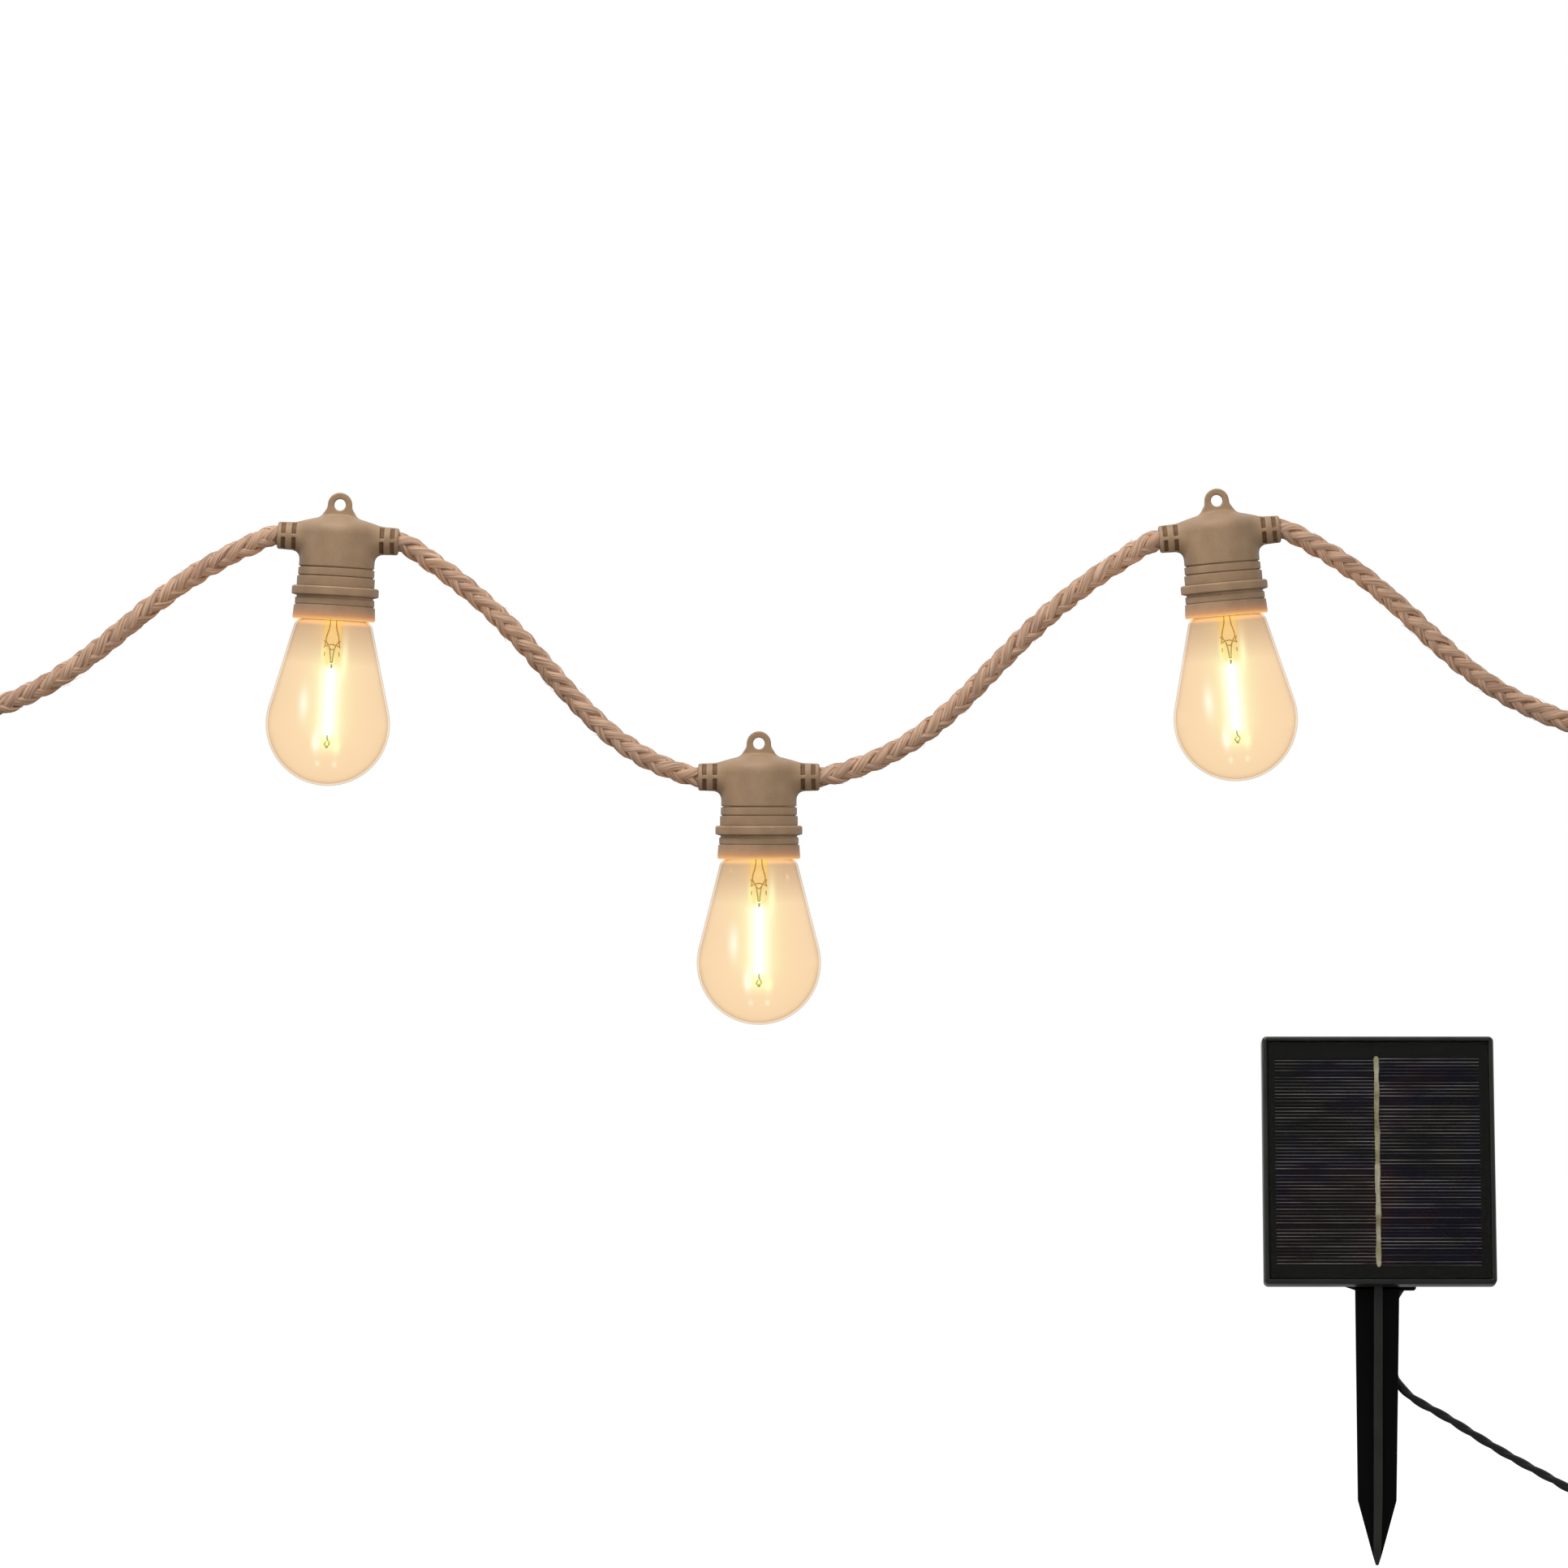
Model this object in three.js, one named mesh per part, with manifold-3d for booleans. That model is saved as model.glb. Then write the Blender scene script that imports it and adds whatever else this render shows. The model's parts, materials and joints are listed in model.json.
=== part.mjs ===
// Solar string lights: three lamps on a jute-covered cable that hangs in waves, joined by a thin
// lead and a screw-collar connector to a tilting solar panel on a garden stake.
//
// Millimetres. +X runs along the rope, +Z is up, -Y is the front that faces the viewer.
// The origin is the centre of the hanging eye of the middle lamp, where it is hung from a hook.

import * as THREE from 'three';
import { mergeVertices } from 'three/addons/utils/BufferGeometryUtils.js';
import Module from 'manifold-3d';

const wasm = await Module();
wasm.setup();

// ---------------------------------------------------------------- driving dimensions

const gap = 0.3;                 // clearance between neighbouring pieces

// Lamps: the place of each hanging eye and how far the lamp leans along the rope.
const lamps = [
  { side: 'left', eye: [-151.7, 86.4], lean: 3.2 },
  { side: 'centre', eye: [0, 0], lean: 0 },
  { side: 'right', eye: [165.8, 87.9], lean: -5 },
];

// Rope and cable
const ropeRadius = 4;
const ropeBore = 2.4;
const ropeNeck = 3.4;            // the rope is pinched where it goes into a sleeve
const coreRadius = 2;
const leadRadius = 1.6;
const ropeGrip = 10.5;            // straight end of the rope inside its end mouldings
const endSleeveLength = 26;
const ropeSteps = 10;

// Holder, measured down from the eye
const eyeRadius = 4.5;
const eyeHole = 2.1;
const eyeThickness = 3.2;
const swingAxis = -12.2;         // height of the rope's line through the holder
const sleeveRadius = 5.2;
const sleeveReach = 22;
const sleeveBore = 3.95;
const ropeSeat = 14.2;           // depth at which the rope stops inside a sleeve
const bodyRadius = 13.65;
const holderEnd = -29.4;
const groovePlaces = [15.9, 19.7];
const grooveWidth = 1.4;
const grooveFloor = 4.35;

// Screw base: a 14 mm lamp cap with a 2.82 mm pitch, right-handed
const threadPitch = 2.82;
const threadSides = 12;
const rowsPerTurn = 4;
const capRoot = 6.15;
const threadDepth = 0.75;
const threadClearance = 0.68;

// Bulb
const bulbRadius = 22.5;
const bulbCentre = -79.4;
const coneAngle = 14.2;
const glassWall = 0.9;

// Panel and stake
const panelTilt = 12;            // leans back from upright
const panelPlace = 224.3;        // along the rope
const panelWidth = 84;
const panelHeight = 90.8;
const frameDepth = 8;
const rimSide = 1.8;
const pivotHeight = -185.9;
const pivotFront = 5;            // how far the pivot and the stake stand behind the rope's line
const pivotBehindFace = 18.95;
const pivotBelowCentre = 32.25;
const housingBack = 27;
const tailPlace = 14;            // the lead leaves the housing on this side of the pivot
const flangeTop = -195.2;
const flangeThick = 3;
const stakeShoulder = -274.6;
const stakeTip = -298.1;
const stakeBlade = 3;

// Connector on the lead
const connectorPlace = [381, -138];

// ---------------------------------------------------------------- materials

function plastic(colour, roughness) {
  return new THREE.MeshStandardMaterial({ color: colour, roughness, metalness: 0 });
}

function metal(colour, roughness) {
  return new THREE.MeshStandardMaterial({ color: colour, roughness, metalness: 1 });
}

const clearGlass = new THREE.MeshStandardMaterial({
  color: 0xf8dcae, roughness: 0.05, metalness: 0, transparent: true, opacity: 0.35,
});

const looks = {
  tanRubber: () => plastic(0x967b5f, 0.6),
  jute: () => plastic(0xaf9173, 0.95),
  blackPlastic: () => plastic(0x121310, 0.4),
  blackRubber: () => plastic(0x0c0c0b, 0.7),
  nickel: () => metal(0xc8c4b8, 0.3),
  brass: () => metal(0xb98f45, 0.35),
  steel: () => metal(0xa8a8a6, 0.35),
  glass: () => clearGlass.clone(),
  glow: () => plastic(0xfff2c4, 0.5),
  cell: () => plastic(0x15161c, 0.25),
  resin: () => plastic(0x22242c, 0.08),
  battery: () => plastic(0x4a8f5a, 0.4),
  board: () => plastic(0x1d5b33, 0.5),
};

// ---------------------------------------------------------------- geometry helpers

// Faces between successive rings of points. With closed = true the last ring joins the first,
// otherwise both end rings are filled.
function skin(rings, closed) {
  const sides = rings[0].length;
  const points = rings.flat();
  const faces = [];
  const bands = closed ? rings.length : rings.length - 1;
  for (let row = 0; row < bands; row += 1) {
    const here = row * sides;
    const next = ((row + 1) % rings.length) * sides;
    for (let side = 0; side < sides; side += 1) {
      const turn = (side + 1) % sides;
      faces.push(here + side, here + turn, next + turn);
      faces.push(here + side, next + turn, next + side);
    }
  }
  if (!closed) {
    fillRing(points, faces, 0, sides, true);
    fillRing(points, faces, (rings.length - 1) * sides, sides, false);
  }
  const geometry = new THREE.BufferGeometry().setFromPoints(points);
  geometry.setIndex(faces);
  return outward(geometry);
}

function fillRing(points, faces, first, sides, backwards) {
  const middle = new THREE.Vector3();
  for (let side = 0; side < sides; side += 1) middle.add(points[first + side]);
  points.push(middle.divideScalar(sides));
  for (let side = 0; side < sides; side += 1) {
    const here = first + side;
    const turn = first + ((side + 1) % sides);
    faces.push(points.length - 1, backwards ? turn : here, backwards ? here : turn);
  }
}

function welded(geometry) {
  const bare = geometry.clone();
  bare.deleteAttribute('normal');
  bare.deleteAttribute('uv');
  return mergeVertices(bare, 1e-4);
}

// Turns the faces to point out, whichever way the outline was drawn.
function outward(geometry) {
  const solid = welded(geometry);
  const place = solid.attributes.position;
  const index = solid.index.array;
  const [a, b, c] = [new THREE.Vector3(), new THREE.Vector3(), new THREE.Vector3()];
  let volume = 0;
  for (let i = 0; i < index.length; i += 3) {
    a.fromBufferAttribute(place, index[i]);
    b.fromBufferAttribute(place, index[i + 1]);
    c.fromBufferAttribute(place, index[i + 2]);
    volume += a.dot(b.cross(c));
  }
  if (volume < 0) {
    for (let i = 0; i < index.length; i += 3) {
      [index[i], index[i + 1]] = [index[i + 1], index[i]];
    }
  }
  return solid;
}

// A turned piece about Z. The profile is [radius, height] pairs: it starts and ends on the axis
// or, with closed = true, closes on itself to leave a bore.
function turned(profile, sides, closed = false) {
  const points = profile.map(([radius, height]) => new THREE.Vector2(radius, height));
  if (closed) points.push(points[0].clone());
  return outward(new THREE.LatheGeometry(points, sides).rotateX(Math.PI / 2));
}

function turnedAboutX(profile, sides, closed = false) {
  return turned(profile, sides, closed).rotateY(Math.PI / 2);
}

// A flat shape drawn in X and Z, with its thickness running back along +Y from y = 0.
function plate(shape, thickness, curveSegments = 6) {
  const options = { depth: thickness, bevelEnabled: false, curveSegments };
  const solid = new THREE.ExtrudeGeometry(shape, options);
  return outward(solid.rotateX(Math.PI / 2).translate(0, thickness, 0));
}

function roundedRectangle(width, height, radius) {
  const [x, z] = [width / 2, height / 2];
  const shape = new THREE.Shape();
  shape.moveTo(-x + radius, -z);
  shape.lineTo(x - radius, -z);
  shape.absarc(x - radius, -z + radius, radius, -Math.PI / 2, 0);
  shape.lineTo(x, z - radius);
  shape.absarc(x - radius, z - radius, radius, 0, Math.PI / 2);
  shape.lineTo(-x + radius, z);
  shape.absarc(-x + radius, z - radius, radius, Math.PI / 2, Math.PI);
  shape.lineTo(-x, -z + radius);
  shape.absarc(-x + radius, -z + radius, radius, Math.PI, 1.5 * Math.PI);
  return shape;
}

// A rounded slab between two depths behind the panel's face, centred on [x, z].
function slab(width, height, radius, front, back, x = 0, z = 0) {
  return plate(roundedRectangle(width, height, radius), back - front, 3).translate(x, front, z);
}

function box(width, depth, height, x = 0, y = 0, z = 0) {
  return new THREE.BoxGeometry(width, depth, height).translate(x, y, z);
}

function toManifold(geometry) {
  const solid = welded(geometry);
  return new wasm.Manifold(new wasm.Mesh({
    numProp: 3,
    vertProperties: new Float32Array(solid.attributes.position.array),
    triVerts: new Uint32Array(solid.index.array),
  }));
}

function combine(base, added, removed = []) {
  let solid = toManifold(base);
  for (const piece of added) solid = solid.add(toManifold(piece));
  for (const piece of removed) solid = solid.subtract(toManifold(piece));
  const result = solid.getMesh();
  const geometry = new THREE.BufferGeometry();
  geometry.setAttribute('position', new THREE.BufferAttribute(result.vertProperties, 3));
  geometry.setIndex(new THREE.BufferAttribute(result.triVerts, 1));
  return geometry;
}

function mesh(name, geometry, material) {
  const piece = new THREE.Mesh(geometry, material);
  piece.name = name;
  return piece;
}

// ---------------------------------------------------------------- rope, cable and leads

// A ring of points around a line, square to it. The line's binormal stays near Y.
function ringAround(centre, heading, radius, sides) {
  const across = new THREE.Vector3(0, 1, 0);
  across.addScaledVector(heading, -heading.y).normalize();
  const up = new THREE.Vector3().crossVectors(across, heading);
  const ring = [];
  for (let side = 0; side < sides; side += 1) {
    const angle = (2 * Math.PI * side) / sides;
    const point = centre.clone();
    point.addScaledVector(across, radius * Math.cos(angle));
    point.addScaledVector(up, radius * Math.sin(angle));
    ring.push(point);
  }
  return ring;
}

function headings(points) {
  return points.map((point, i) => {
    const before = points[Math.max(i - 1, 0)];
    const after = points[Math.min(i + 1, points.length - 1)];
    return new THREE.Vector3().subVectors(after, before).normalize();
  });
}

function cable(points, radius, sides) {
  const aim = headings(points);
  return skin(points.map((point, i) => ringAround(point, aim[i], radius, sides)), false);
}

function sleeveTube(points, outerRadii, bore, sides) {
  const aim = headings(points);
  const outer = points.map((point, i) => ringAround(point, aim[i], outerRadii[i], sides));
  const inner = points.map((point, i) => ringAround(point, aim[i], bore, sides));
  return skin([...outer, ...inner.reverse()], true);
}

// A point on the rope's line through a lamp, at a signed distance from the lamp's middle.
function onSwingAxis(lamp, distance) {
  const place = new THREE.Vector3(distance, 0, swingAxis);
  place.applyAxisAngle(new THREE.Vector3(0, 1, 0), THREE.MathUtils.degToRad(lamp.lean));
  return place.add(new THREE.Vector3(lamp.eye[0], 0, lamp.eye[1]));
}

function flat([x, z]) {
  return new THREE.Vector3(x, 0, z);
}

// Each span is one curve between two sleeves, or between a sleeve and a rope end.
const ropeStart = [-282, 11.6];
const ropeFinish = [311.8, 2.9];
const freeLength = sleeveReach + 0.6;
const [leftLamp, centreLamp, rightLamp] = lamps;
const spans = [
  { name: 'rope_span_far_left', from: null, to: leftLamp, bends: [[-234.6, 25], [-226.4, 57]] },
  { name: 'rope_span_left', from: leftLamp, to: centreLamp, bends: [[-75, 41.4], [-68, -1.5]] },
  { name: 'rope_span_right', from: centreLamp, to: rightLamp, bends: [[79, -0.1], [81.6, 41.3]] },
  { name: 'rope_span_far_right', from: rightLamp, to: null, bends: [[245.4, 52.9], [243.8, 17]] },
];

// The rope runs straight on past its last bend, into the moulding that grips its end.
function beyond(end, bend) {
  const heading = end.clone().sub(bend).normalize();
  return end.clone().addScaledVector(heading, ropeGrip);
}

function spanLine(span) {
  const start = span.from ? onSwingAxis(span.from, freeLength) : flat(ropeStart);
  const finish = span.to ? onSwingAxis(span.to, -freeLength) : flat(ropeFinish);
  const [first, second] = span.bends.map(flat);
  const curve = new THREE.CubicBezierCurve3(start, first, second, finish);
  const points = curve.getSpacedPoints(ropeSteps);
  const radii = points.map(() => ropeRadius);
  const startRadius = span.from ? ropeNeck : ropeRadius;
  const finishRadius = span.to ? ropeNeck : ropeRadius;
  radii[0] = startRadius;
  radii[radii.length - 1] = finishRadius;
  points.unshift(span.from ? onSwingAxis(span.from, ropeSeat + gap) : beyond(start, first));
  points.push(span.to ? onSwingAxis(span.to, -ropeSeat - gap) : beyond(finish, second));
  return { points, radii: [startRadius, ...radii, finishRadius] };
}

function ropePieces() {
  const lines = spans.map(spanLine);
  const pieces = spans.map((span, i) => {
    const tube = sleeveTube(lines[i].points, lines[i].radii, ropeBore, 7);
    return mesh(span.name, tube, looks.jute());
  });
  const wholeLine = lines.flatMap((line) => line.points);
  pieces.push(mesh('core_cable', cable(wholeLine, coreRadius, 6), looks.blackRubber()));
  return pieces;
}

// Turns a piece drawn along +Z so that it runs from a place along a heading.
function aimed(geometry, place, heading) {
  const turn = new THREE.Quaternion();
  turn.setFromUnitVectors(new THREE.Vector3(0, 0, 1), heading.clone().normalize());
  return geometry.applyQuaternion(turn).translate(place.x, place.y, place.z);
}

// The rope's free end sits in a moulded cap; its other end in a sleeve that passes the lead on.
function ropeEndCap() {
  const bore = ropeRadius + gap;
  const floor = ropeGrip + gap;
  const top = ropeGrip + 6;
  const profile = [[0, top], [4.4, top], [5.4, top - 1], [5.4, 0], [bore, 0], [bore, floor], [0, floor]];
  const heading = flat(ropeStart).sub(flat(spans[0].bends[0]));
  return mesh('rope_end_cap', aimed(turned(profile, 16), flat(ropeStart), heading), looks.tanRubber());
}

function ropeEndHeading() {
  return flat(ropeFinish).sub(flat(spans[3].bends[1])).normalize();
}

function ropeEndSleeve() {
  const bore = ropeRadius + gap;
  const leadBore = leadRadius + gap;
  const floor = ropeGrip + gap;
  const far = endSleeveLength;
  const profile = [
    [bore, 0], [5.4, 0], [5.4, 14], [2.8, far], [leadBore, far], [leadBore, floor], [bore, floor],
  ];
  const sleeve = aimed(turned(profile, 16, true), flat(ropeFinish), ropeEndHeading());
  return mesh('rope_end_sleeve', sleeve, looks.tanRubber());
}

// The lead leaves the end sleeve, turns down in an arc and drops into the connector.
function upperLead() {
  const heading = ropeEndHeading();
  const start = flat(ropeFinish).addScaledVector(heading, ropeGrip + 2 * gap);
  const bendStart = flat(ropeFinish).addScaledVector(heading, endSleeveLength);
  const slope = Math.atan2(heading.z, heading.x);
  const bendRadius = (connectorPlace[0] - bendStart.x) / (1 + Math.sin(slope));
  const hubHeight = bendStart.z - bendRadius * Math.cos(slope);
  const hub = new THREE.Vector3(connectorPlace[0] - bendRadius, 0, hubHeight);
  const points = [start, bendStart];
  const steps = 8;
  for (let i = 1; i <= steps; i += 1) {
    const angle = (Math.PI / 2 + slope) * (1 - i / steps);
    points.push(new THREE.Vector3(
      hub.x + bendRadius * Math.cos(angle), 0, hub.z + bendRadius * Math.sin(angle),
    ));
  }
  points.push(new THREE.Vector3(connectorPlace[0], 0, connectorPlace[1] + 12));
  return mesh('upper_lead', cable(points, leadRadius, 6), looks.blackRubber());
}

// The lead from the panel drops behind the stake, comes out on its right and rises to the connector.
function lowerLead() {
  const x = panelPlace;
  const loopRadius = 60;
  const loopCentre = [connectorPlace[0] - loopRadius, -216.5];
  const start = new THREE.Vector3(x + tailPlace, 4.2, pivotHeight - 3.8);
  const hidden = [
    [x + tailPlace, 3.9, pivotHeight - 5.4], [x + 10.6, 10.5, -196.5], [x + 6.4, 12.6, -202.5],
    [x + 4.9, 10.5, -214], [x + 6, 8.6, -228],
  ];
  const shown = [[x + 10.7, 8, -235.6], [x + 26, 5, -245], [x + 46, 2.4, -257.2], [293, 0, -269.6]];
  const curve = new THREE.CatmullRomCurve3([...hidden, ...shown].map((place) => new THREE.Vector3(...place)));
  const points = [start, ...curve.getSpacedPoints(22)];
  const steps = 7;
  const entry = THREE.MathUtils.degToRad(-117.7);
  for (let i = 1; i <= steps; i += 1) {
    const angle = entry * (1 - i / steps);
    points.push(new THREE.Vector3(
      loopCentre[0] + loopRadius * Math.cos(angle), 0, loopCentre[1] + loopRadius * Math.sin(angle),
    ));
  }
  points.push(new THREE.Vector3(connectorPlace[0], 0, connectorPlace[1] - 12));
  return mesh('lower_lead', cable(points, leadRadius, 6), looks.blackRubber());
}

// Screw-collar connector, upright on the lead: socket above, plug below, nut round the joint.
function connectorPieces() {
  const bore = leadRadius + gap;
  const socket = [
    [bore, 34], [3.2, 34], [5.4, 27], [5.4, 10], [4.9, 9.4], [4.9, -6], [3.8, -6], [3.8, 5], [bore, 5],
  ];
  const plug = [
    [bore, -34], [bore, 3.6], [3.4, 3.6], [3.4, -6.6], [6, -6.6], [6, -9], [5, -9.4], [5, -27], [3.2, -34],
  ];
  const nut = [
    [5.3, -12], [7.6, -12], [8, -11.4], [8, 7.4], [7.6, 8], [5.3, 8], [5.3, -6.2], [6.4, -6.3],
    [6.4, -9.3], [5.3, -9.6],
  ];
  const pieces = [
    mesh('connector_socket', turned(socket, 14, true), looks.blackRubber()),
    mesh('connector_plug', turned(plug, 14, true), looks.blackRubber()),
    mesh('connector_nut', turned(nut, 14, true), looks.blackPlastic()),
  ];
  for (const piece of pieces) piece.position.set(connectorPlace[0], 0, connectorPlace[1]);
  return pieces;
}

// ---------------------------------------------------------------- lamp

function eyePlate() {
  const shape = new THREE.Shape();
  const flare = 0.15;
  shape.moveTo(-8.5, -7);
  shape.lineTo(-6.4, -4.2);
  shape.quadraticCurveTo(-4.6, -3.4, -eyeRadius * Math.cos(flare), -eyeRadius * Math.sin(flare));
  shape.absarc(0, 0, eyeRadius, Math.PI + flare, -flare, true);
  shape.quadraticCurveTo(4.6, -3.4, 6.4, -4.2);
  shape.lineTo(8.5, -7);
  const hole = new THREE.Path();
  hole.absarc(0, 0, eyeHole, 0, 2 * Math.PI);
  shape.holes.push(hole);
  return plate(shape, eyeThickness, 5).translate(0, -eyeThickness / 2, 0);
}

function holderBody() {
  const groove = 0.5;
  const profile = [
    [0, -4], [5.5, -4.1], [9.5, -5.2], [12.6, -6.8], [bodyRadius, -8.6], [bodyRadius, -22.6],
    [bodyRadius - groove, -22.9], [13.8, -23.2], [13.8, -25.8], [13.8 - groove, -26.1],
    [14.1, -26.4], [14.1, holderEnd], [0, holderEnd],
  ];
  return turned(profile, 14);
}

function sleeveBlank(side) {
  const tip = sleeveReach;
  const profile = [[0, 9], [sleeveRadius, 9], [sleeveRadius, tip - 0.7], [4.7, tip], [0, tip]];
  const sleeve = turnedAboutX(profile, 10);
  if (side < 0) sleeve.rotateZ(Math.PI);
  return sleeve.translate(0, 0, swingAxis);
}

// A ring groove that lets the sleeve's end flex with the rope.
function flexGroove(place) {
  const [inner, outer, half] = [grooveFloor, sleeveRadius + 0.6, grooveWidth / 2];
  const ring = turnedAboutX([[inner, -half], [outer, -half], [outer, half], [inner, half]], 10, true);
  return ring.translate(place, 0, swingAxis);
}

function holder() {
  const removed = [turned([[0, -15.9], [10.4, -15.9], [10.4, holderEnd - 1], [0, holderEnd - 1]], 12)];
  const cableBore = turnedAboutX([[0, -30], [2.5, -30], [2.5, 30], [0, 30]], 8);
  removed.push(cableBore.translate(0, 0, swingAxis));
  for (const side of [-1, 1]) {
    const length = sleeveReach - ropeSeat + 1;
    const middle = side * (ropeSeat + length / 2);
    const profile = [[0, -length / 2], [sleeveBore, -length / 2], [sleeveBore, length / 2], [0, length / 2]];
    removed.push(turnedAboutX(profile, 10).translate(middle, 0, swingAxis));
    for (const place of groovePlaces) removed.push(flexGroove(side * place));
  }
  return combine(holderBody(), [eyePlate(), sleeveBlank(1), sleeveBlank(-1)], removed);
}

// The lower collar grips the holder's mouth and seals on the bulb's shoulder.
function skirt() {
  const bore = 10.5;
  const profile = [
    [bore, -29.75], [15.4, -29.85], [15.75, -30.3], [15.75, -32.9], [13.9, -33.3], [13.9, -34],
    [14.45, -34.2], [14.45, -36.3], [14.15, -36.6], [14.75, -36.9], [15, -41.1], [14.6, -41.8],
    [13.5, -41.8], [13.3, -38.6], [bore, -35.5],
  ];
  return turned(profile, 14, true);
}

function socketInsert() {
  const profile = [[0, -16.2], [10, -16.2], [10, -34], [8.4, -34], [8.4, -17.9], [0, -17.9]];
  return turned(profile, 12);
}

function centreContact() {
  return turned([[0, -18.2], [3.4, -18.2], [3.4, -18.6], [1.6, -19], [0, -19]], 8);
}

// One ring of a right-handed round thread. The ridge climbs one pitch for each turn.
function threadRing(height, root, depth) {
  const ring = [];
  for (let side = 0; side < threadSides; side += 1) {
    const angle = (2 * Math.PI * side) / threadSides;
    const ridge = 0.5 + 0.5 * Math.cos(angle - (2 * Math.PI * height) / threadPitch);
    const radius = root + depth * ridge;
    ring.push(new THREE.Vector3(radius * Math.cos(angle), radius * Math.sin(angle), height));
  }
  return ring;
}

// Threaded rows on whole fractions of the pitch, so that mating threads share their facets.
function threadRows(firstRow, lastRow, root) {
  const rows = [];
  for (let row = firstRow; row >= lastRow; row -= 1) {
    rows.push(threadRing((row * threadPitch) / rowsPerTurn, root, threadDepth));
  }
  return rows;
}

function screwShell() {
  const root = capRoot + threadClearance;
  const [top, bottom] = [-20.6, -33.6];
  const inner = threadRows(-32, -44, root);
  const outer = [threadRing(bottom, 8, 0), threadRing(top, 8, 0)];
  const ends = [threadRing(top, root + threadDepth, 0), threadRing(bottom, root + threadDepth, 0)];
  return skin([outer[1], ends[0], ...inner, ends[1], outer[0]], true);
}

function bulbCap() {
  const wall = 0.4;
  const bore = capRoot - wall;
  const rings = [threadRing(-20, 3.6, 0), threadRing(-20.6, capRoot, 0)];
  rings.push(...threadRows(-31, -46, capRoot));
  rings.push(threadRing(-33.8, 6.6, 0), threadRing(-34.9, 6.9, 0));
  rings.push(threadRing(-34.9, bore, 0), threadRing(-24, bore, 0));
  return skin(rings, false);
}

function capContact() {
  return turned([[0, -19.2], [1.4, -19.2], [2.3, -19.5], [2.3, -19.8], [0, -19.8]], 8);
}

function bulbGasket() {
  return turned([[10.9, -38.9], [12.9, -38.9], [12.9, -40.7], [10.9, -40.7]], 12, true);
}

// The outline of the bulb from its neck to its crown, set in by the wall for the inner face.
function bulbOutline(inset, steps) {
  const cone = THREE.MathUtils.degToRad(coneAngle);
  const shoulder = [[5.4, -30.5], [5.4, -35.6], [10.2, -40.6], [12.9, -42.5], [14.2, -44]];
  const outline = shoulder.map(([radius, height]) => [radius - inset, height]);
  for (let i = 0; i < steps; i += 1) {
    const angle = cone - ((cone + Math.PI / 2) * i) / steps;
    const radius = bulbRadius - inset;
    outline.push([radius * Math.cos(angle), bulbCentre + radius * Math.sin(angle)]);
  }
  outline.push([0, bulbCentre - bulbRadius + inset]);
  return outline;
}

function bulbGlass() {
  const profile = [...bulbOutline(0, 6).reverse(), ...bulbOutline(glassWall, 4)];
  return turned(profile, 14);
}

function bulbStem() {
  const profile = [
    [0, -33], [4.1, -33], [4.1, -34.5], [3.4, -37.5], [3.2, -50], [2.8, -52], [2.8, -57.6], [0, -57.6],
  ];
  return turned(profile, 8);
}

function filament() {
  const [wire, stick] = [0.35, 1.2];
  const profile = [
    [0, -57.9], [wire, -57.9], [wire, -59.1], [stick, -59.4],
    [stick, -83.4], [wire, -83.7], [wire, -88.6], [0, -88.6],
  ];
  return turned(profile, 8);
}

function buildLamp(lamp) {
  const group = new THREE.Group();
  const pieces = {
    holder: [holder, looks.tanRubber],
    skirt: [skirt, looks.tanRubber],
    socket_insert: [socketInsert, looks.blackPlastic],
    screw_shell: [screwShell, looks.nickel],
    centre_contact: [centreContact, looks.brass],
    bulb_gasket: [bulbGasket, looks.blackRubber],
    bulb_glass: [bulbGlass, looks.glass],
    bulb_cap: [bulbCap, looks.nickel],
    cap_contact: [capContact, looks.brass],
    bulb_stem: [bulbStem, looks.glass],
    filament: [filament, looks.glow],
  };
  for (const [name, [shape, look]] of Object.entries(pieces)) {
    group.add(mesh(`${lamp.side}_${name}`, shape(), look()));
  }
  group.position.set(lamp.eye[0], 0, lamp.eye[1]);
  group.rotation.y = THREE.MathUtils.degToRad(lamp.lean);
  return group;
}

// ---------------------------------------------------------------- solar panel
// Drawn upright: x across, y = depth behind the front face, z up from the face's centre.

const screwPlaces = [[-31.6, -22.6], [31.6, -22.6], [-31.6, 38.6], [31.6, 38.6]];
const housingMiddle = 8;
const boltRadius = 2;
const buttonPlace = [0, -6];

function alongDepth(profile, x, z, sides = 12, closed = false) {
  return outward(turned(profile, sides, closed).rotateX(-Math.PI / 2)).translate(x, 0, z);
}

function panelFrame() {
  const screwHoles = screwPlaces.map(([x, z]) => alongDepth([[0, 3.6], [1.6, 3.6], [1.6, 9], [0, 9]], x, z));
  const recess = slab(panelWidth - 2 * rimSide, panelHeight - 2 * rimSide, 1, -1, 2.4);
  const pocket = slab(panelWidth - 4.4, panelHeight - 4.4, 1, 5.6, frameDepth + 1);
  return combine(slab(panelWidth, panelHeight, 1.6, 0, frameDepth), [], [recess, pocket, ...screwHoles]);
}

function solarCell() {
  const inset = 2 * (rimSide + gap);
  return slab(panelWidth - inset, panelHeight - inset, 0.7, 1.45, 2.1);
}

function panelWindow() {
  const inset = 2 * (rimSide + gap);
  return slab(panelWidth - inset, panelHeight - inset, 0.7, 0.25, 1.15);
}

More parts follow.
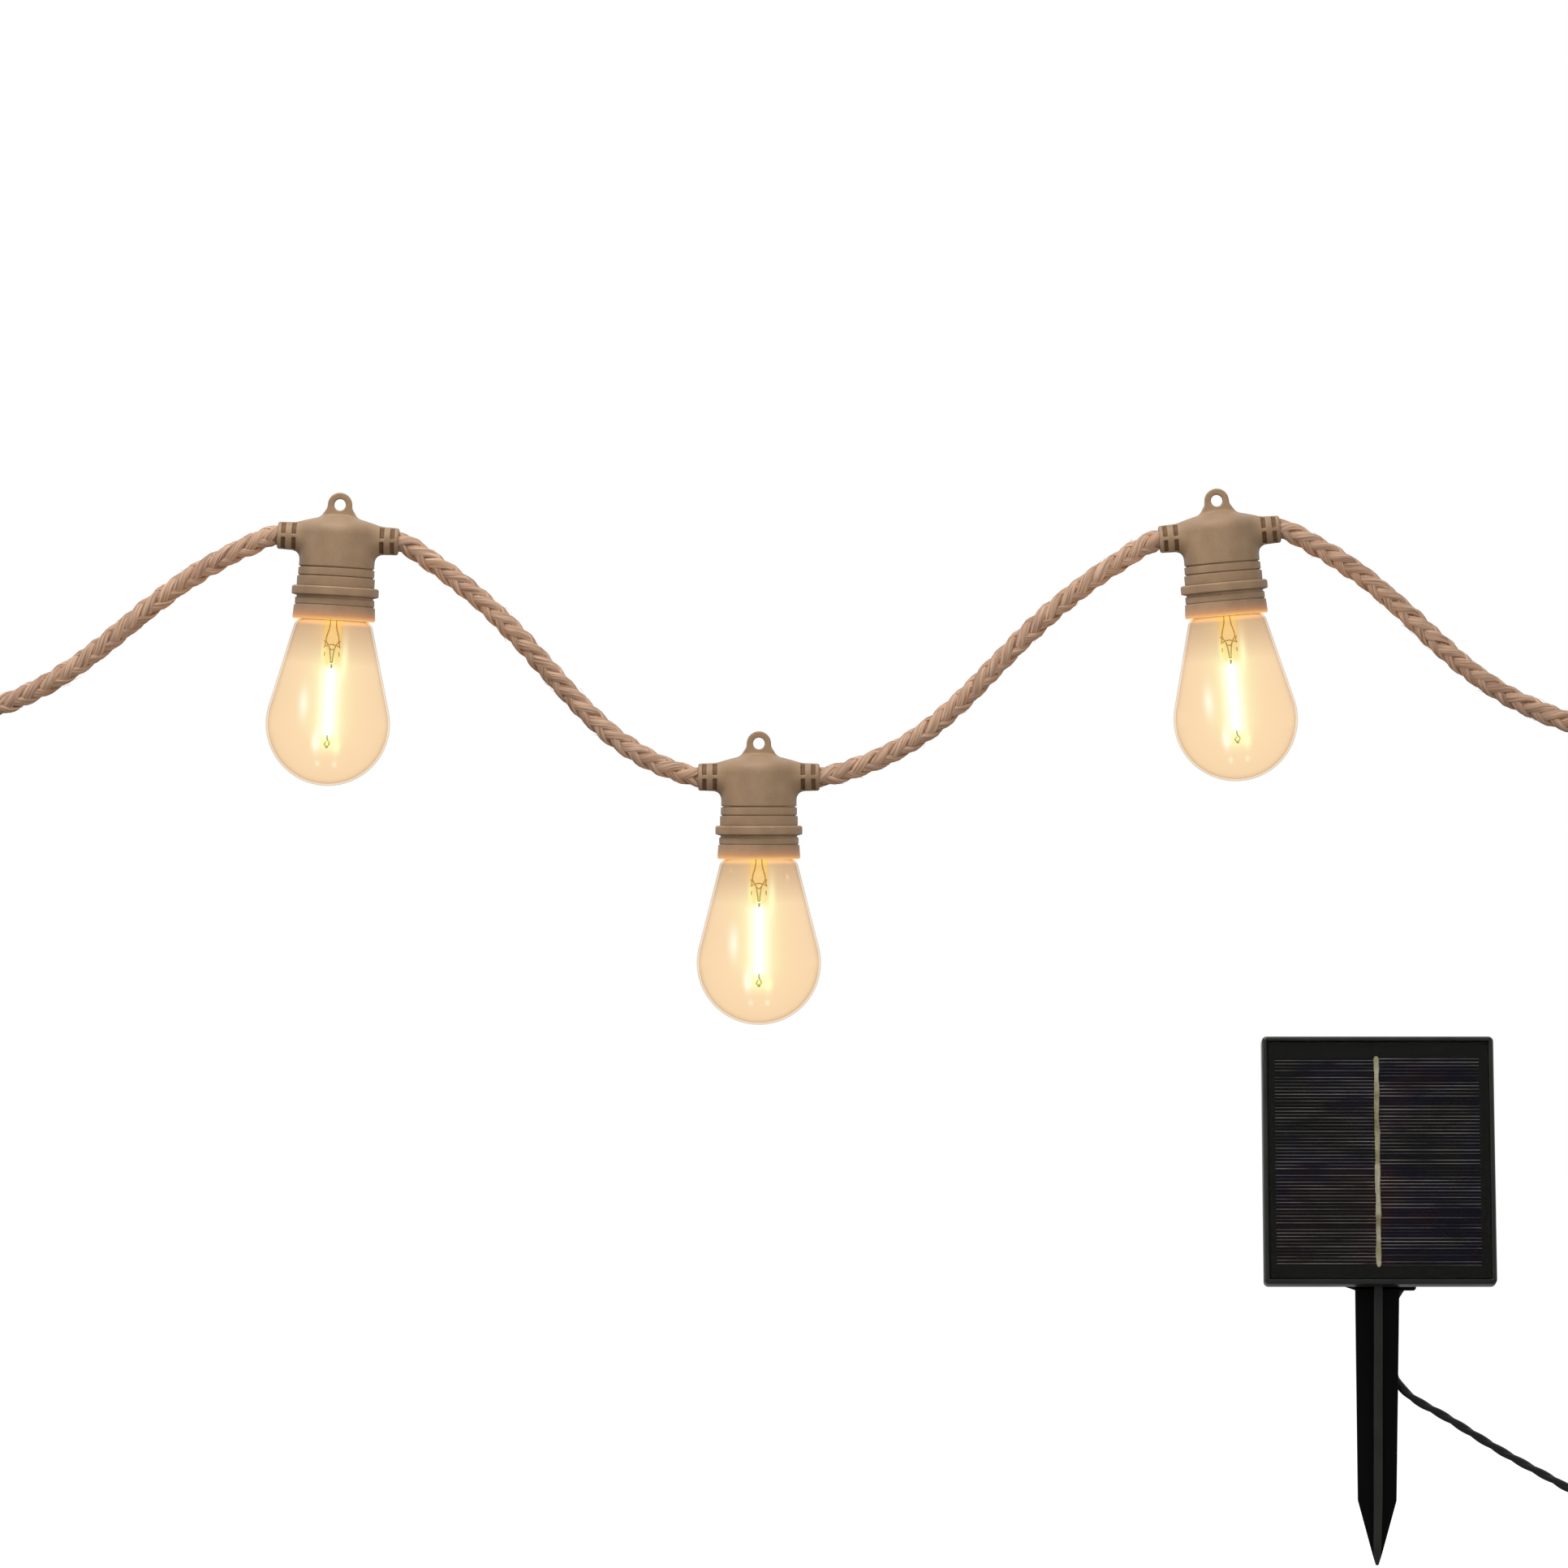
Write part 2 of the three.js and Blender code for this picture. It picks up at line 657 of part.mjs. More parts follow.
function rearHousing() {
  const shell = slab(60, 58, 4, 5.9, housingBack, 0, housingMiddle);
  const flange = slab(70, 68, 3, 5.9, 8.3, 0, housingMiddle);
  const web = box(8.2, 9, 12, 0, pivotBehindFace, -pivotBelowCentre + 6);
  const knuckle = turnedAboutX([[0, -4.1], [5, -4.1], [5, 4.1], [0, 4.1]], 14);
  knuckle.translate(0, pivotBehindFace, -pivotBelowCentre);
  const post = [[0, 15.9], [2.2, 15.9], [2.2, 26], [0, 26]];
  const posts = [-15, 15].map((x) => alongDepth(post, x, buttonPlace[1], 8));
  const hollow = slab(56, 54, 2.4, 5, 25, 0, housingMiddle);
  const boltBore = turnedAboutX([[0, -6], [2.35, -6], [2.35, 6], [0, 6]], 14);
  boltBore.translate(0, pivotBehindFace, -pivotBelowCentre);
  const buttonHole = alongDepth([[0, 24], [5.4, 24], [5.4, 28], [0, 28]], ...buttonPlace, 14);
  const tailHole = turned([[0, -24], [3, -24], [3, -16], [0, -16]], 12);
  tailHole.translate(tailPlace, pivotBehindFace, 0);
  const screwHoles = screwPlaces.map(([x, z]) => alongDepth([[0, 5], [1.75, 5], [1.75, 9], [0, 9]], x, z));
  const cup = combine(shell, [flange, web, knuckle], [hollow, boltBore, buttonHole, tailHole, ...screwHoles]);
  return combine(cup, posts);
}

function batteryCell() {
  const length = 50;
  const end = length / 2;
  const profile = [[0, -end], [7.25, -end], [7.25, end - 1], [2.7, end - 1], [2.7, end], [0, end]];
  return turnedAboutX(profile, 20).translate(0, 15.6, 24);
}

function circuitBoard() {
  const board = slab(42, 20, 0.6, 14, 15.6, 0, buttonPlace[1]);
  const keySwitch = box(6, 3.2, 6, buttonPlace[0], 17, buttonPlace[1]);
  const chip = box(5, 1.6, 4, -8, 16, buttonPlace[1]);
  const coil = alongDepth([[0, 15], [2, 15], [2, 18], [0, 18]], 8.5, buttonPlace[1]);
  return combine(board, [keySwitch, chip, coil]);
}

function powerButton() {
  const profile = [
    [0, 19.9], [1.6, 19.9], [1.6, 22.9], [6.4, 22.9], [6.4, 24.6],
    [5, 24.6], [5, 28.2], [4.3, 28.8], [0, 28.8],
  ];
  return alongDepth(profile, ...buttonPlace, 14);
}

function leadTail() {
  const tailEnd = -pivotBelowCentre - 3;
  const profile = [
    [0, tailEnd], [leadRadius, tailEnd], [leadRadius, -25.5], [2.6, -25], [3.7, -22.6], [3.7, -21.3],
    [2.7, -21.3], [2.7, -18.7], [3.7, -18.7], [3.7, -17.6],
    [leadRadius, -17.4], [leadRadius, -12], [0, -12],
  ];
  return turned(profile, 10).translate(tailPlace, pivotBehindFace, 0);
}

function housingScrew([x, z]) {
  const profile = [[0, 3.9], [1.3, 3.9], [1.3, 8.6], [2.4, 8.6], [2.2, 9.6], [1.4, 10.1], [0, 10.1]];
  return alongDepth(profile, x, z, 10);
}

function buildPanel() {
  const upright = new THREE.Group();
  upright.add(
    mesh('panel_frame', panelFrame(), looks.blackPlastic()),
    mesh('solar_cell', solarCell(), looks.cell()),
    mesh('panel_window', panelWindow(), looks.resin()),
    mesh('rear_housing', rearHousing(), looks.blackPlastic()),
    mesh('battery', batteryCell(), looks.battery()),
    mesh('circuit_board', circuitBoard(), looks.board()),
    mesh('power_button', powerButton(), looks.blackRubber()),
    mesh('lead_tail', leadTail(), looks.blackRubber()),
  );
  screwPlaces.forEach((place, i) => {
    upright.add(mesh(`housing_screw_${i + 1}`, housingScrew(place), looks.steel()));
  });
  upright.position.set(0, -pivotBehindFace, pivotBelowCentre);
  const tilted = new THREE.Group();
  tilted.add(upright);
  tilted.position.set(panelPlace, pivotFront, pivotHeight);
  tilted.rotation.x = THREE.MathUtils.degToRad(-panelTilt);
  return tilted;
}

// ---------------------------------------------------------------- stake and pivot
// Drawn about the stake's own centre line: x and y from it, z in the object's frame.

function bladeOutline(topHalf, shoulderHalf) {
  const top = flangeTop - flangeThick / 2;
  const shape = new THREE.Shape();
  shape.moveTo(-topHalf, top);
  shape.lineTo(-shoulderHalf, stakeShoulder);
  shape.lineTo(-0.6, stakeTip);
  shape.lineTo(0.6, stakeTip);
  shape.lineTo(shoulderHalf, stakeShoulder);
  shape.lineTo(topHalf, top);
  return shape;
}

function stake() {
  const wide = plate(bladeOutline(8, 7), stakeBlade).translate(0, -stakeBlade / 2, 0);
  const deep = plate(bladeOutline(7, 7), stakeBlade).translate(0, -stakeBlade / 2, 0);
  deep.rotateZ(Math.PI / 2);
  const flange = box(31, 7, flangeThick, 0, -2.5, flangeTop - flangeThick / 2);
  const hub = box(17, 10.5, flangeThick, 0, -0.75, flangeTop - flangeThick / 2);
  const ears = [-6.4, 6.4].map((x) => {
    const disc = turnedAboutX([[0, -1.8], [5.2, -1.8], [5.2, 1.8], [0, 1.8]], 16);
    const leg = box(3.6, 9, pivotHeight - flangeTop + 1, 0, 0, (flangeTop - pivotHeight - 1) / 2);
    return combine(disc, [leg]).translate(x, 0, pivotHeight);
  });
  const bore = turnedAboutX([[0, -12], [2.3, -12], [2.3, 12], [0, 12]], 14).translate(0, 0, pivotHeight);
  return combine(wide, [deep, flange, hub, ...ears], [bore]);
}

function pivotBolt() {
  const profile = [
    [0, -14], [boltRadius, -14], [boltRadius, 8.5], [3.6, 8.5], [3.6, 10.4], [2.9, 11], [0, 11],
  ];
  return turnedAboutX(profile, 14).translate(0, 0, pivotHeight);
}

function wingKnob() {
  const hub = turnedAboutX([[0, -16], [3.4, -16], [4.2, -14.6], [4.2, -8.6], [0, -8.6]], 14);
  const wings = box(3.2, 2.4, 17, -13.4, 0, 0);
  const bore = turnedAboutX([[0, -14.4], [2.35, -14.4], [2.35, -8], [0, -8]], 14);
  return combine(hub, [wings], [bore]).translate(0, 0, pivotHeight);
}

function buildStake() {
  const group = new THREE.Group();
  group.add(
    mesh('stake', stake(), looks.blackPlastic()),
    mesh('pivot_bolt', pivotBolt(), looks.steel()),
    mesh('wing_knob', wingKnob(), looks.blackPlastic()),
  );
  group.position.set(panelPlace, pivotFront, 0);
  return group;
}

// ---------------------------------------------------------------- whole object

const stringLights = new THREE.Group();
stringLights.add(...ropePieces(), ropeEndCap(), ropeEndSleeve(), upperLead(), lowerLead());
stringLights.add(...connectorPieces());
stringLights.add(...lamps.map(buildLamp));
stringLights.add(buildPanel(), buildStake());

export default stringLights;
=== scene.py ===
import json
import math
import random

import bpy
import numpy as np
import openvdb
from mathutils import Matrix, Vector


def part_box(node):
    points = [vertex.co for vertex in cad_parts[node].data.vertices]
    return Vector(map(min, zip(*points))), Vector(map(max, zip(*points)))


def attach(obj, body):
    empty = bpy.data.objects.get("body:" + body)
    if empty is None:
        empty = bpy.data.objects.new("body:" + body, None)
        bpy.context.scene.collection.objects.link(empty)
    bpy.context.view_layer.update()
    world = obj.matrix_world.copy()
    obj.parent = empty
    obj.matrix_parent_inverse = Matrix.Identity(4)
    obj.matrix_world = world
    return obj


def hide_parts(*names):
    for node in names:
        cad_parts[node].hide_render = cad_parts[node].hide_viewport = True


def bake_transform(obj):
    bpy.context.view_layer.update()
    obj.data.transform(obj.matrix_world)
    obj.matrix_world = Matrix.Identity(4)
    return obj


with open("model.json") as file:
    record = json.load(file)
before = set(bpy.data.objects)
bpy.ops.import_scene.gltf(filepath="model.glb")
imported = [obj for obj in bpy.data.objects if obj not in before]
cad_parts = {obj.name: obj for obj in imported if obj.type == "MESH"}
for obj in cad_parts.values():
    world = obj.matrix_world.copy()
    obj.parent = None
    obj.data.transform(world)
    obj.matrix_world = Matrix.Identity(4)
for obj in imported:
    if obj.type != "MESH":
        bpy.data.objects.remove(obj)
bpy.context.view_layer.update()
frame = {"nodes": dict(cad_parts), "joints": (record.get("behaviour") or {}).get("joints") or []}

# Lengths below are in millimetres, as on a drawing; MM turns them into Blender's metres.
MM = 0.001
SIDES = ("left", "centre", "right")
JOINTS = {joint["name"]: joint for joint in frame["joints"]}

# Lamp, measured from the centre of its hanging eye
SWING_DROP = 12.2           # the rope's line below the eye
SLEEVE_RADIUS = 5.2
SLEEVE_REACH = 22.0
BODY_RADIUS = 13.65
SHELL_TOP_END = -22.75      # where the smooth upper part meets the banded part
HOLDER_END = -29.78
BULB_RADIUS = 22.5
BULB_CENTRE = -79.4
CONE_ANGLE = math.radians(14.2)
GLASS_WALL = 0.8
THREAD_PITCH = 2.82
THREAD_DEPTH = 0.75
FILAMENT_TOP = -59.4
FILAMENT_FOOT = -83.4

# Rope
BRAID_PITCH = 30.0
ROPE_NECK = 0.95            # how far the rope is pinched where a sleeve grips it

# Panel, measured from the centre of its front face
PANEL_WIDTH = 84.0
PANEL_HEIGHT = 90.8
PIVOT_BEHIND_FACE = 18.95
PIVOT_BELOW_CENTRE = 32.25

# Where the lower lead leaves the housing, in the panel's own frame
TAIL_SIDE = 14.0
TAIL_TOP = -24.0
TAIL_END = -34.4

# Stake, in heights from the tilt pivot
STAKE_TOP = -10.8
STAKE_SHOULDER = -88.7
STAKE_TIP = -112.2

# Picture
VIEW_CENTRE = (9.1, -14.7)
VIEW_WIDTH = 568.0
VIEW_DISTANCE = 3200.0
SENSOR = 36.0


# ------------------------------------------------------------------ places

def axes_place(along, back, up, origin):
    place = Matrix.Identity(4)
    for column, axis in enumerate((along, back, up)):
        place.col[column][:3] = axis
    place.translation = origin
    return place


def lamp_place(side):
    """The lamp's own frame: x along the rope, z up the lamp, origin at the hanging eye."""
    joint = JOINTS[f"{side}_lamp_swing"]
    along = Vector(joint["axis"]).normalized()
    back = Vector((0, 1, 0))
    up = along.cross(back)
    eye = Vector(joint["pos_m"]) + up * SWING_DROP * MM
    return axes_place(along, back, up, eye)


def panel_place():
    """The panel's own frame: x across, y into its depth, z up its face, origin at the face's centre."""
    back = -Vector(JOINTS["power_button_press"]["axis"]).normalized()
    across = Vector((1, 0, 0))
    up = across.cross(back)
    pivot = Vector(JOINTS["panel_tilt"]["pos_m"])
    centre = pivot - back * PIVOT_BEHIND_FACE * MM + up * PIVOT_BELOW_CENTRE * MM
    return axes_place(across, back, up, centre)


LAMPS = {side: lamp_place(side) for side in SIDES}
PANEL = panel_place()
PIVOT = Matrix.Translation(Vector(JOINTS["panel_tilt"]["pos_m"]))
COLLAR = Matrix.Translation(Vector(JOINTS["connector_nut_turn"]["pos_m"]))


# ------------------------------------------------------------------ mesh helpers

def piece(name, shape, material, place=Matrix.Identity(4), sharp=35):
    """A Blender object from (points in millimetres, faces), smooth except at edges sharper than sharp."""
    points, faces = shape
    mesh = bpy.data.meshes.new(name)
    mesh.from_pydata((np.asarray(points) * MM).tolist(), [], [list(map(int, face)) for face in faces])
    mesh.validate()
    mesh.shade_smooth()
    mesh.set_sharp_from_angle(angle=math.radians(sharp))
    for slot in material if isinstance(material, (list, tuple)) else [material]:
        mesh.materials.append(slot)
    thing = bpy.data.objects.new(name, mesh)
    thing.matrix_world = place
    bpy.context.scene.collection.objects.link(thing)
    return thing


def mounted(thing, body, slot, *nodes):
    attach(thing, body)
    if nodes:
        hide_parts(*nodes)
    return thing


def joined(*shapes):
    points, faces, offset = [], [], 0
    for part_points, part_faces in shapes:
        points.append(np.asarray(part_points, float))
        faces.extend([index + offset for index in face] for face in part_faces)
        offset += len(part_points)
    return np.concatenate(points), faces


def moved(shape, offset):
    return np.asarray(shape[0], float) + np.array(offset), shape[1]


def turned_to_x(shape):
    """A shape drawn about Z, laid along X."""
    points = np.asarray(shape[0], float)
    return np.stack([points[:, 2], points[:, 1], -points[:, 0]], 1), shape[1]


def turned_to_back(shape):
    """A shape drawn about Z, laid along Y so that its top points back."""
    points = np.asarray(shape[0], float)
    return np.stack([points[:, 0], points[:, 2], -points[:, 1]], 1), shape[1]


def skin(rings, closed=False):
    """Quads between successive rings. Open runs get a flat fan at each end."""
    rings = np.asarray(rings, float)
    count, sides = rings.shape[:2]
    faces = []
    for row in range(count if closed else count - 1):
        here, there = row * sides, ((row + 1) % count) * sides
        for side in range(sides):
            turn = (side + 1) % sides
            faces.append((here + side, here + turn, there + turn, there + side))
    points = rings.reshape(-1, 3)
    if not closed:
        ends = np.array([rings[0].mean(0), rings[-1].mean(0)])
        points = np.concatenate([points, ends])
        last = (count - 1) * sides
        for side in range(sides):
            turn = (side + 1) % sides
            faces.append((len(points) - 2, turn, side))
            faces.append((len(points) - 1, last + side, last + turn))
    return facing_out((points, faces))


def facing_out(shape):
    points, faces = shape
    volume = 0.0
    for face in faces:
        first = points[face[0]]
        for i in range(1, len(face) - 1):
            volume += np.dot(first, np.cross(points[face[i]], points[face[i + 1]]))
    return (points, [tuple(reversed(face)) for face in faces]) if volume < 0 else shape


def rounded(profile, radius, closed=False, steps=4):
    """The profile with an arc at each corner; a third number at a point overrides the radius."""
    count = len(profile)
    result = []
    for i, point in enumerate(profile):
        here = np.array(point[:2], float)
        wanted = point[2] if len(point) > 2 else radius
        if not closed and i in (0, count - 1) or wanted == 0:
            result.append(here)
            continue
        before = np.array(profile[i - 1][:2], float) - here
        after = np.array(profile[(i + 1) % count][:2], float) - here
        reach_before, reach_after = np.linalg.norm(before), np.linalg.norm(after)
        before, after = before / reach_before, after / reach_after
        half = math.acos(max(-1, min(1, float(before @ after)))) / 2
        cut = min(wanted / math.tan(half), 0.48 * reach_before, 0.48 * reach_after)
        start, finish = here + before * cut, here + after * cut
        for step in range(steps + 1):
            share = step / steps
            result.append((1 - share) ** 2 * start + 2 * share * (1 - share) * here + share ** 2 * finish)
    return result


def lathe(profile, sides=96, closed=False):
    """A turned solid about Z from (radius, height) points; open profiles are filled at both ends."""
    angles = np.linspace(0, 2 * math.pi, sides, endpoint=False)
    circle = np.stack([np.cos(angles), np.sin(angles)], 1)
    rings = []
    for radius, height in profile:
        ring = np.zeros((sides, 3))
        ring[:, :2] = circle * radius
        ring[:, 2] = height
        rings.append(ring)
    return skin(rings, closed)


def rounded_loop(half_width, half_height, corner, per_corner=6):
    """A rounded rectangle in X and Z, as a ring of points."""
    points = []
    for quarter, (sx, sz) in enumerate(((1, 1), (-1, 1), (-1, -1), (1, -1))):
        for step in range(per_corner + 1):
            angle = math.pi / 2 * (quarter + step / per_corner)
            points.append((sx * (half_width - corner) + corner * math.cos(angle),
                           sz * (half_height - corner) + corner * math.sin(angle)))
    return points


def tray(profile, width, height, corner, centre=(0, 0)):
    """A rounded slab whose edge follows a profile of (inset, depth), from front to back."""
    rings = []
    for inset, depth in profile:
        loop = rounded_loop(width / 2 - inset, height / 2 - inset, max(corner - inset, 0.25))
        rings.append([(x + centre[0], depth, z + centre[1]) for x, z in loop])
    return skin(rings)


def spline(points, step):
    """A smooth line through the points, sampled about every step, by centripetal Catmull-Rom."""
    points = np.asarray(points, float)
    padded = np.concatenate([[2 * points[0] - points[1]], points, [2 * points[-1] - points[-2]]])
    result = []
    for i in range(1, len(padded) - 2):
        p = padded[i - 1:i + 3]
        gaps = np.sqrt(np.linalg.norm(np.diff(p, axis=0), axis=1))
        knots = np.concatenate([[0], np.cumsum(gaps)])
        samples = max(2, int(round(np.linalg.norm(p[2] - p[1]) / step)))
        for t in np.linspace(knots[1], knots[2], samples, endpoint=False):
            a = [blend_points(p[j], p[j + 1], knots[j], knots[j + 1], t) for j in range(3)]
            b = [blend_points(a[j], a[j + 1], knots[j], knots[j + 2], t) for j in range(2)]
            result.append(blend_points(b[0], b[1], knots[1], knots[2], t))
    result.append(points[-1])
    return np.array(result)


def blend_points(first, second, start, finish, t):
    share = (t - start) / (finish - start)
    return first * (1 - share) + second * share


def centre_line(node, ring_width):
    """The middle of each ring of points of a CAD cable, taken in turn from its lowest x; the callers put them
    in order along the cable.
    """
    rest = np.unique(np.round([tuple(v.co) for v in frame["nodes"][node].data.vertices], 7), axis=0) / MM
    rings = []
    while len(rest):
        near = np.linalg.norm(rest - rest[0], axis=1) < ring_width
        rings.append(rest[near].mean(0))
        rest = rest[~near]
    return rings


def in_order(points, first):
    points = list(points)
    ordered = [points.pop(first)]
    while points:
        nearest = min(range(len(points)), key=lambda i: np.linalg.norm(points[i] - ordered[-1]))
        ordered.append(points.pop(nearest))
    return np.array(ordered)


def line_frames(line):
    """For each point of a line: heading, a direction across it near Y, and the third direction."""
    heading = np.gradient(line, axis=0)
    heading /= np.linalg.norm(heading, axis=1)[:, None]
    across = np.array([0.0, 1.0, 0.0]) - heading * heading[:, 1:2]
    across /= np.linalg.norm(across, axis=1)[:, None]
    return heading, across, np.cross(across, heading)


def round_cable(line, radius, sides=12):
    _, across, up = line_frames(line)
    angles = np.linspace(0, 2 * math.pi, sides, endpoint=False)
    radius = np.broadcast_to(radius, len(line))
    rings = line[:, None] + radius[:, None, None] * (
        np.cos(angles)[None, :, None] * across[:, None] + np.sin(angles)[None, :, None] * up[:, None])
    return skin(rings)


def lengths_along(line):
    return np.concatenate([[0], np.cumsum(np.linalg.norm(np.diff(line, axis=0), axis=1))])


# ------------------------------------------------------------------ node-material helpers

class Shader:
    """A small helper for writing node materials as short lines of code."""

    def __init__(self, name):
        self.material = bpy.data.materials.new(name)
        self.material.use_nodes = True
        self.tree = self.material.node_tree
        self.tree.nodes.clear()
        self.output = self.node("ShaderNodeOutputMaterial")
        self.coordinates = self.node("ShaderNodeTexCoord").outputs["Object"]

    def node(self, kind, **settings):
        made = self.tree.nodes.new(kind)
        for key, value in settings.items():
            setattr(made, key, value)
        return made

    def link(self, source, target):
        if isinstance(source, (int, float, tuple)):
            target.default_value = source
        else:
            self.tree.links.new(source, target)

    def math(self, operation, first, second=0.0, clamp=False):
        made = self.node("ShaderNodeMath", operation=operation, use_clamp=clamp)
        self.link(first, made.inputs[0])
        self.link(second, made.inputs[1])
        return made.outputs[0]

    def sloped(self, value, slope, start, clamp=False):
        """A straight-line change of a value: value times slope plus start."""
        made = self.math("MULTIPLY_ADD", value, slope, clamp)
        made.node.inputs[2].default_value = start
        return made

    def noise(self, scale, detail=3.0, vector=None, rough=0.5):
        """Noise with features about 1/scale metres apart."""
        made = self.node("ShaderNodeTexNoise")
        self.link(vector or self.coordinates, made.inputs["Vector"])
        made.inputs["Scale"].default_value = scale
        made.inputs["Detail"].default_value = detail
        made.inputs["Roughness"].default_value = rough
        return made.outputs["Fac"]

    def stretched(self, scale, vector=None):
        made = self.node("ShaderNodeMapping")
        self.link(vector or self.coordinates, made.inputs["Vector"])
        made.inputs["Scale"].default_value = scale
        return made.outputs["Vector"]

    def axes(self, vector=None):
        made = self.node("ShaderNodeSeparateXYZ")
        self.link(vector or self.coordinates, made.inputs[0])
        return made.outputs

    def facing(self):
        """0 where the surface looks straight at the eye, 1 where it is seen edge on."""
        made = self.node("ShaderNodeLayerWeight")
        made.inputs["Blend"].default_value = 0.5
        return made.outputs["Facing"]

    def attribute(self, name):
        return self.node("ShaderNodeAttribute", attribute_name=name).outputs

    def vector(self, x, y, z):
        made = self.node("ShaderNodeCombineXYZ")
        for value, target in zip((x, y, z), made.inputs):
            self.link(value, target)
        return made.outputs[0]

    def ramp(self, value, stops):
        made = self.node("ShaderNodeValToRGB")
        self.link(value, made.inputs[0])
        elements = made.color_ramp.elements
        while len(elements) < len(stops):
            elements.new(0.5)
        for element, (place, colour) in zip(elements, stops):
            element.position = place
            element.color = srgb(colour) if len(colour) == 3 else colour
        return made.outputs[0]

    def mix(self, share, first, second, blend_type="MIX"):
        made = self.node("ShaderNodeMix", data_type="RGBA", blend_type=blend_type)
        self.link(share, made.inputs["Factor"])
        self.link(first, made.inputs["A"])
        self.link(second, made.inputs["B"])
        return made.outputs["Result"]

    def bump(self, height, strength, distance):
        made = self.node("ShaderNodeBump")
        self.link(height, made.inputs["Height"])
        made.inputs["Strength"].default_value = strength
        made.inputs["Distance"].default_value = distance * MM
        return made.outputs["Normal"]

    def surface(self, colour, roughness, normal=None, **inputs):
        made = self.node("ShaderNodeBsdfPrincipled")
        self.link(colour, made.inputs["Base Color"])
        self.link(roughness, made.inputs["Roughness"])
        if normal is not None:
            self.link(normal, made.inputs["Normal"])
        for key, value in inputs.items():
            self.link(value, made.inputs[key.replace("_", " ")])
        self.link(made.outputs[0], self.output.inputs["Surface"])
        return made


def srgb(colour):
    """Blender's linear colour from 0-255 screen values."""
    parts = [value / 255 for value in colour]
    linear = [v / 12.92 if v <= 0.04045 else ((v + 0.055) / 1.055) ** 2.4 for v in parts]
    return (*linear, 1.0)


# ------------------------------------------------------------------ materials

def tan_rubber(name, glow_from=None, glow_to=None):
    """Moulded tan rubber with a faint mottle; the skirt's lip also gets a painted glow, emission that stands
    in for the bulb's light.
    """
    shader = Shader(name)
    mottle = shader.noise(90, 5)
    speckle = shader.noise(1600, 2)
    tone = shader.ramp(mottle, [(0.3, (139, 113, 87)), (0.55, (152, 125, 97)), (0.75, (161, 134, 108))])
    grain = shader.ramp(speckle, [(0.3, (236, 234, 230)), (0.7, (255, 255, 255))])
    colour = shader.mix(0.5, tone, grain, "MULTIPLY")
    rough = shader.sloped(mottle, 0.25, 0.42)
    normal = shader.bump(shader.noise(2200, 3), 0.25, 0.05)
    extra = {}
    # Painted glow: emission that grows towards the lip's bottom stands in for the bulb's light shining
    # through the rubber.
    if glow_from is not None:
        height = shader.axes()[2]
        span = (glow_from - glow_to) * MM
        share = shader.sloped(height, -1 / span, glow_from * MM / span, clamp=True)
        strength = shader.math("POWER", share, 2.2)
        extra = {
            "Emission_Color": shader.ramp(share, [(0.0, (200, 110, 60)), (0.75, (222, 130, 66)),
                                                  (0.93, (255, 190, 96)), (1.0, (255, 220, 140))]),
            "Emission_Strength": shader.math("MULTIPLY", strength, 0.75),
        }
    shader.surface(colour, rough, normal, Specular_IOR_Level=0.35, **extra)
    return shader.material


def groove_shadow():
    # Painted shadow: a dark brown for the floors of the sleeves' slots, where shade falls.
    shader = Shader("groove_painted_shadow")
    colour = shader.ramp(shader.noise(400, 3), [(0.3, (88, 62, 38)), (0.7, (112, 82, 54))])
    shader.surface(colour, 0.8, shader.bump(shader.noise(1800), 0.3, 0.05))
    return shader.material


def jute(name):
    """Jute strands: fine fibres along each strand, with colour that drifts along the rope, and painted shade
    deep in the braid and at the strands' edges.
    """
    shader = Shader(name)
    along = shader.attribute("along")["Fac"]
    around = shader.attribute("around")["Fac"]
    strand = shader.attribute("strand")["Fac"]
    fibre_space = shader.vector(along, around, strand)
    fibres = shader.noise(1.0, 4, shader.stretched((0.07, 1.5, 7.0), fibre_space), 0.55)
    fine = shader.noise(1.0, 2, shader.stretched((0.12, 3.4, 7.0), fibre_space), 0.5)
    drift = shader.noise(1.0, 3, shader.stretched((0.06, 0.35, 3.1), fibre_space))
    tone = shader.ramp(fibres, [(0.28, (122, 97, 77)), (0.42, (160, 133, 112)),
                                (0.58, (188, 161, 138)), (0.76, (212, 188, 166))])
    drifted = shader.ramp(drift, [(0.3, (232, 214, 212)), (0.5, (255, 245, 240)), (0.72, (255, 238, 220))])
    colour = shader.mix(0.75, tone, drifted, "MULTIPLY")
    threads = shader.ramp(fine, [(0.36, (150, 124, 100)), (0.46, (255, 255, 255))])
    colour = shader.mix(0.5, colour, threads, "MULTIPLY")
    # Painted shade: darker where the depth attribute is low, deep in the braid.
    painted_braid_shade = shader.ramp(shader.attribute("depth")["Fac"], [(0.0, (92, 66, 46)), (0.42, (200, 176, 154)),
                                                            (0.68, (255, 255, 255))])
    colour = shader.mix(0.85, colour, painted_braid_shade, "MULTIPLY")
    height = shader.math("ADD", shader.math("MULTIPLY", fibres, 0.7), shader.math("MULTIPLY", fine, 0.3))
    normal = shader.bump(height, 0.55, 0.24)
    shader.surface(colour, 0.9, normal, Specular_IOR_Level=0.15, Sheen_Weight=0.08, Sheen_Roughness=0.5)
    return shader.material


def black_plastic(name, tone=18, rough=0.36, grain=0.2, shine=0.45):
    shader = Shader(name)
    wear = shader.noise(70, 5)
    low, high = (tone * 0.8, tone * 0.8, tone * 0.72), (tone * 1.45, tone * 1.5, tone * 1.35)
    colour = shader.ramp(wear, [(0.3, low), (0.7, high)])
    roughness = shader.ramp(wear, [(0.25, (rough * 0.8,) * 3 + (1,)), (0.75, (rough * 1.3,) * 3 + (1,))])
    normal = shader.bump(shader.noise(2600, 2), grain, 0.04)
    shader.surface(colour, roughness, normal, Specular_IOR_Level=shine)
    return shader.material


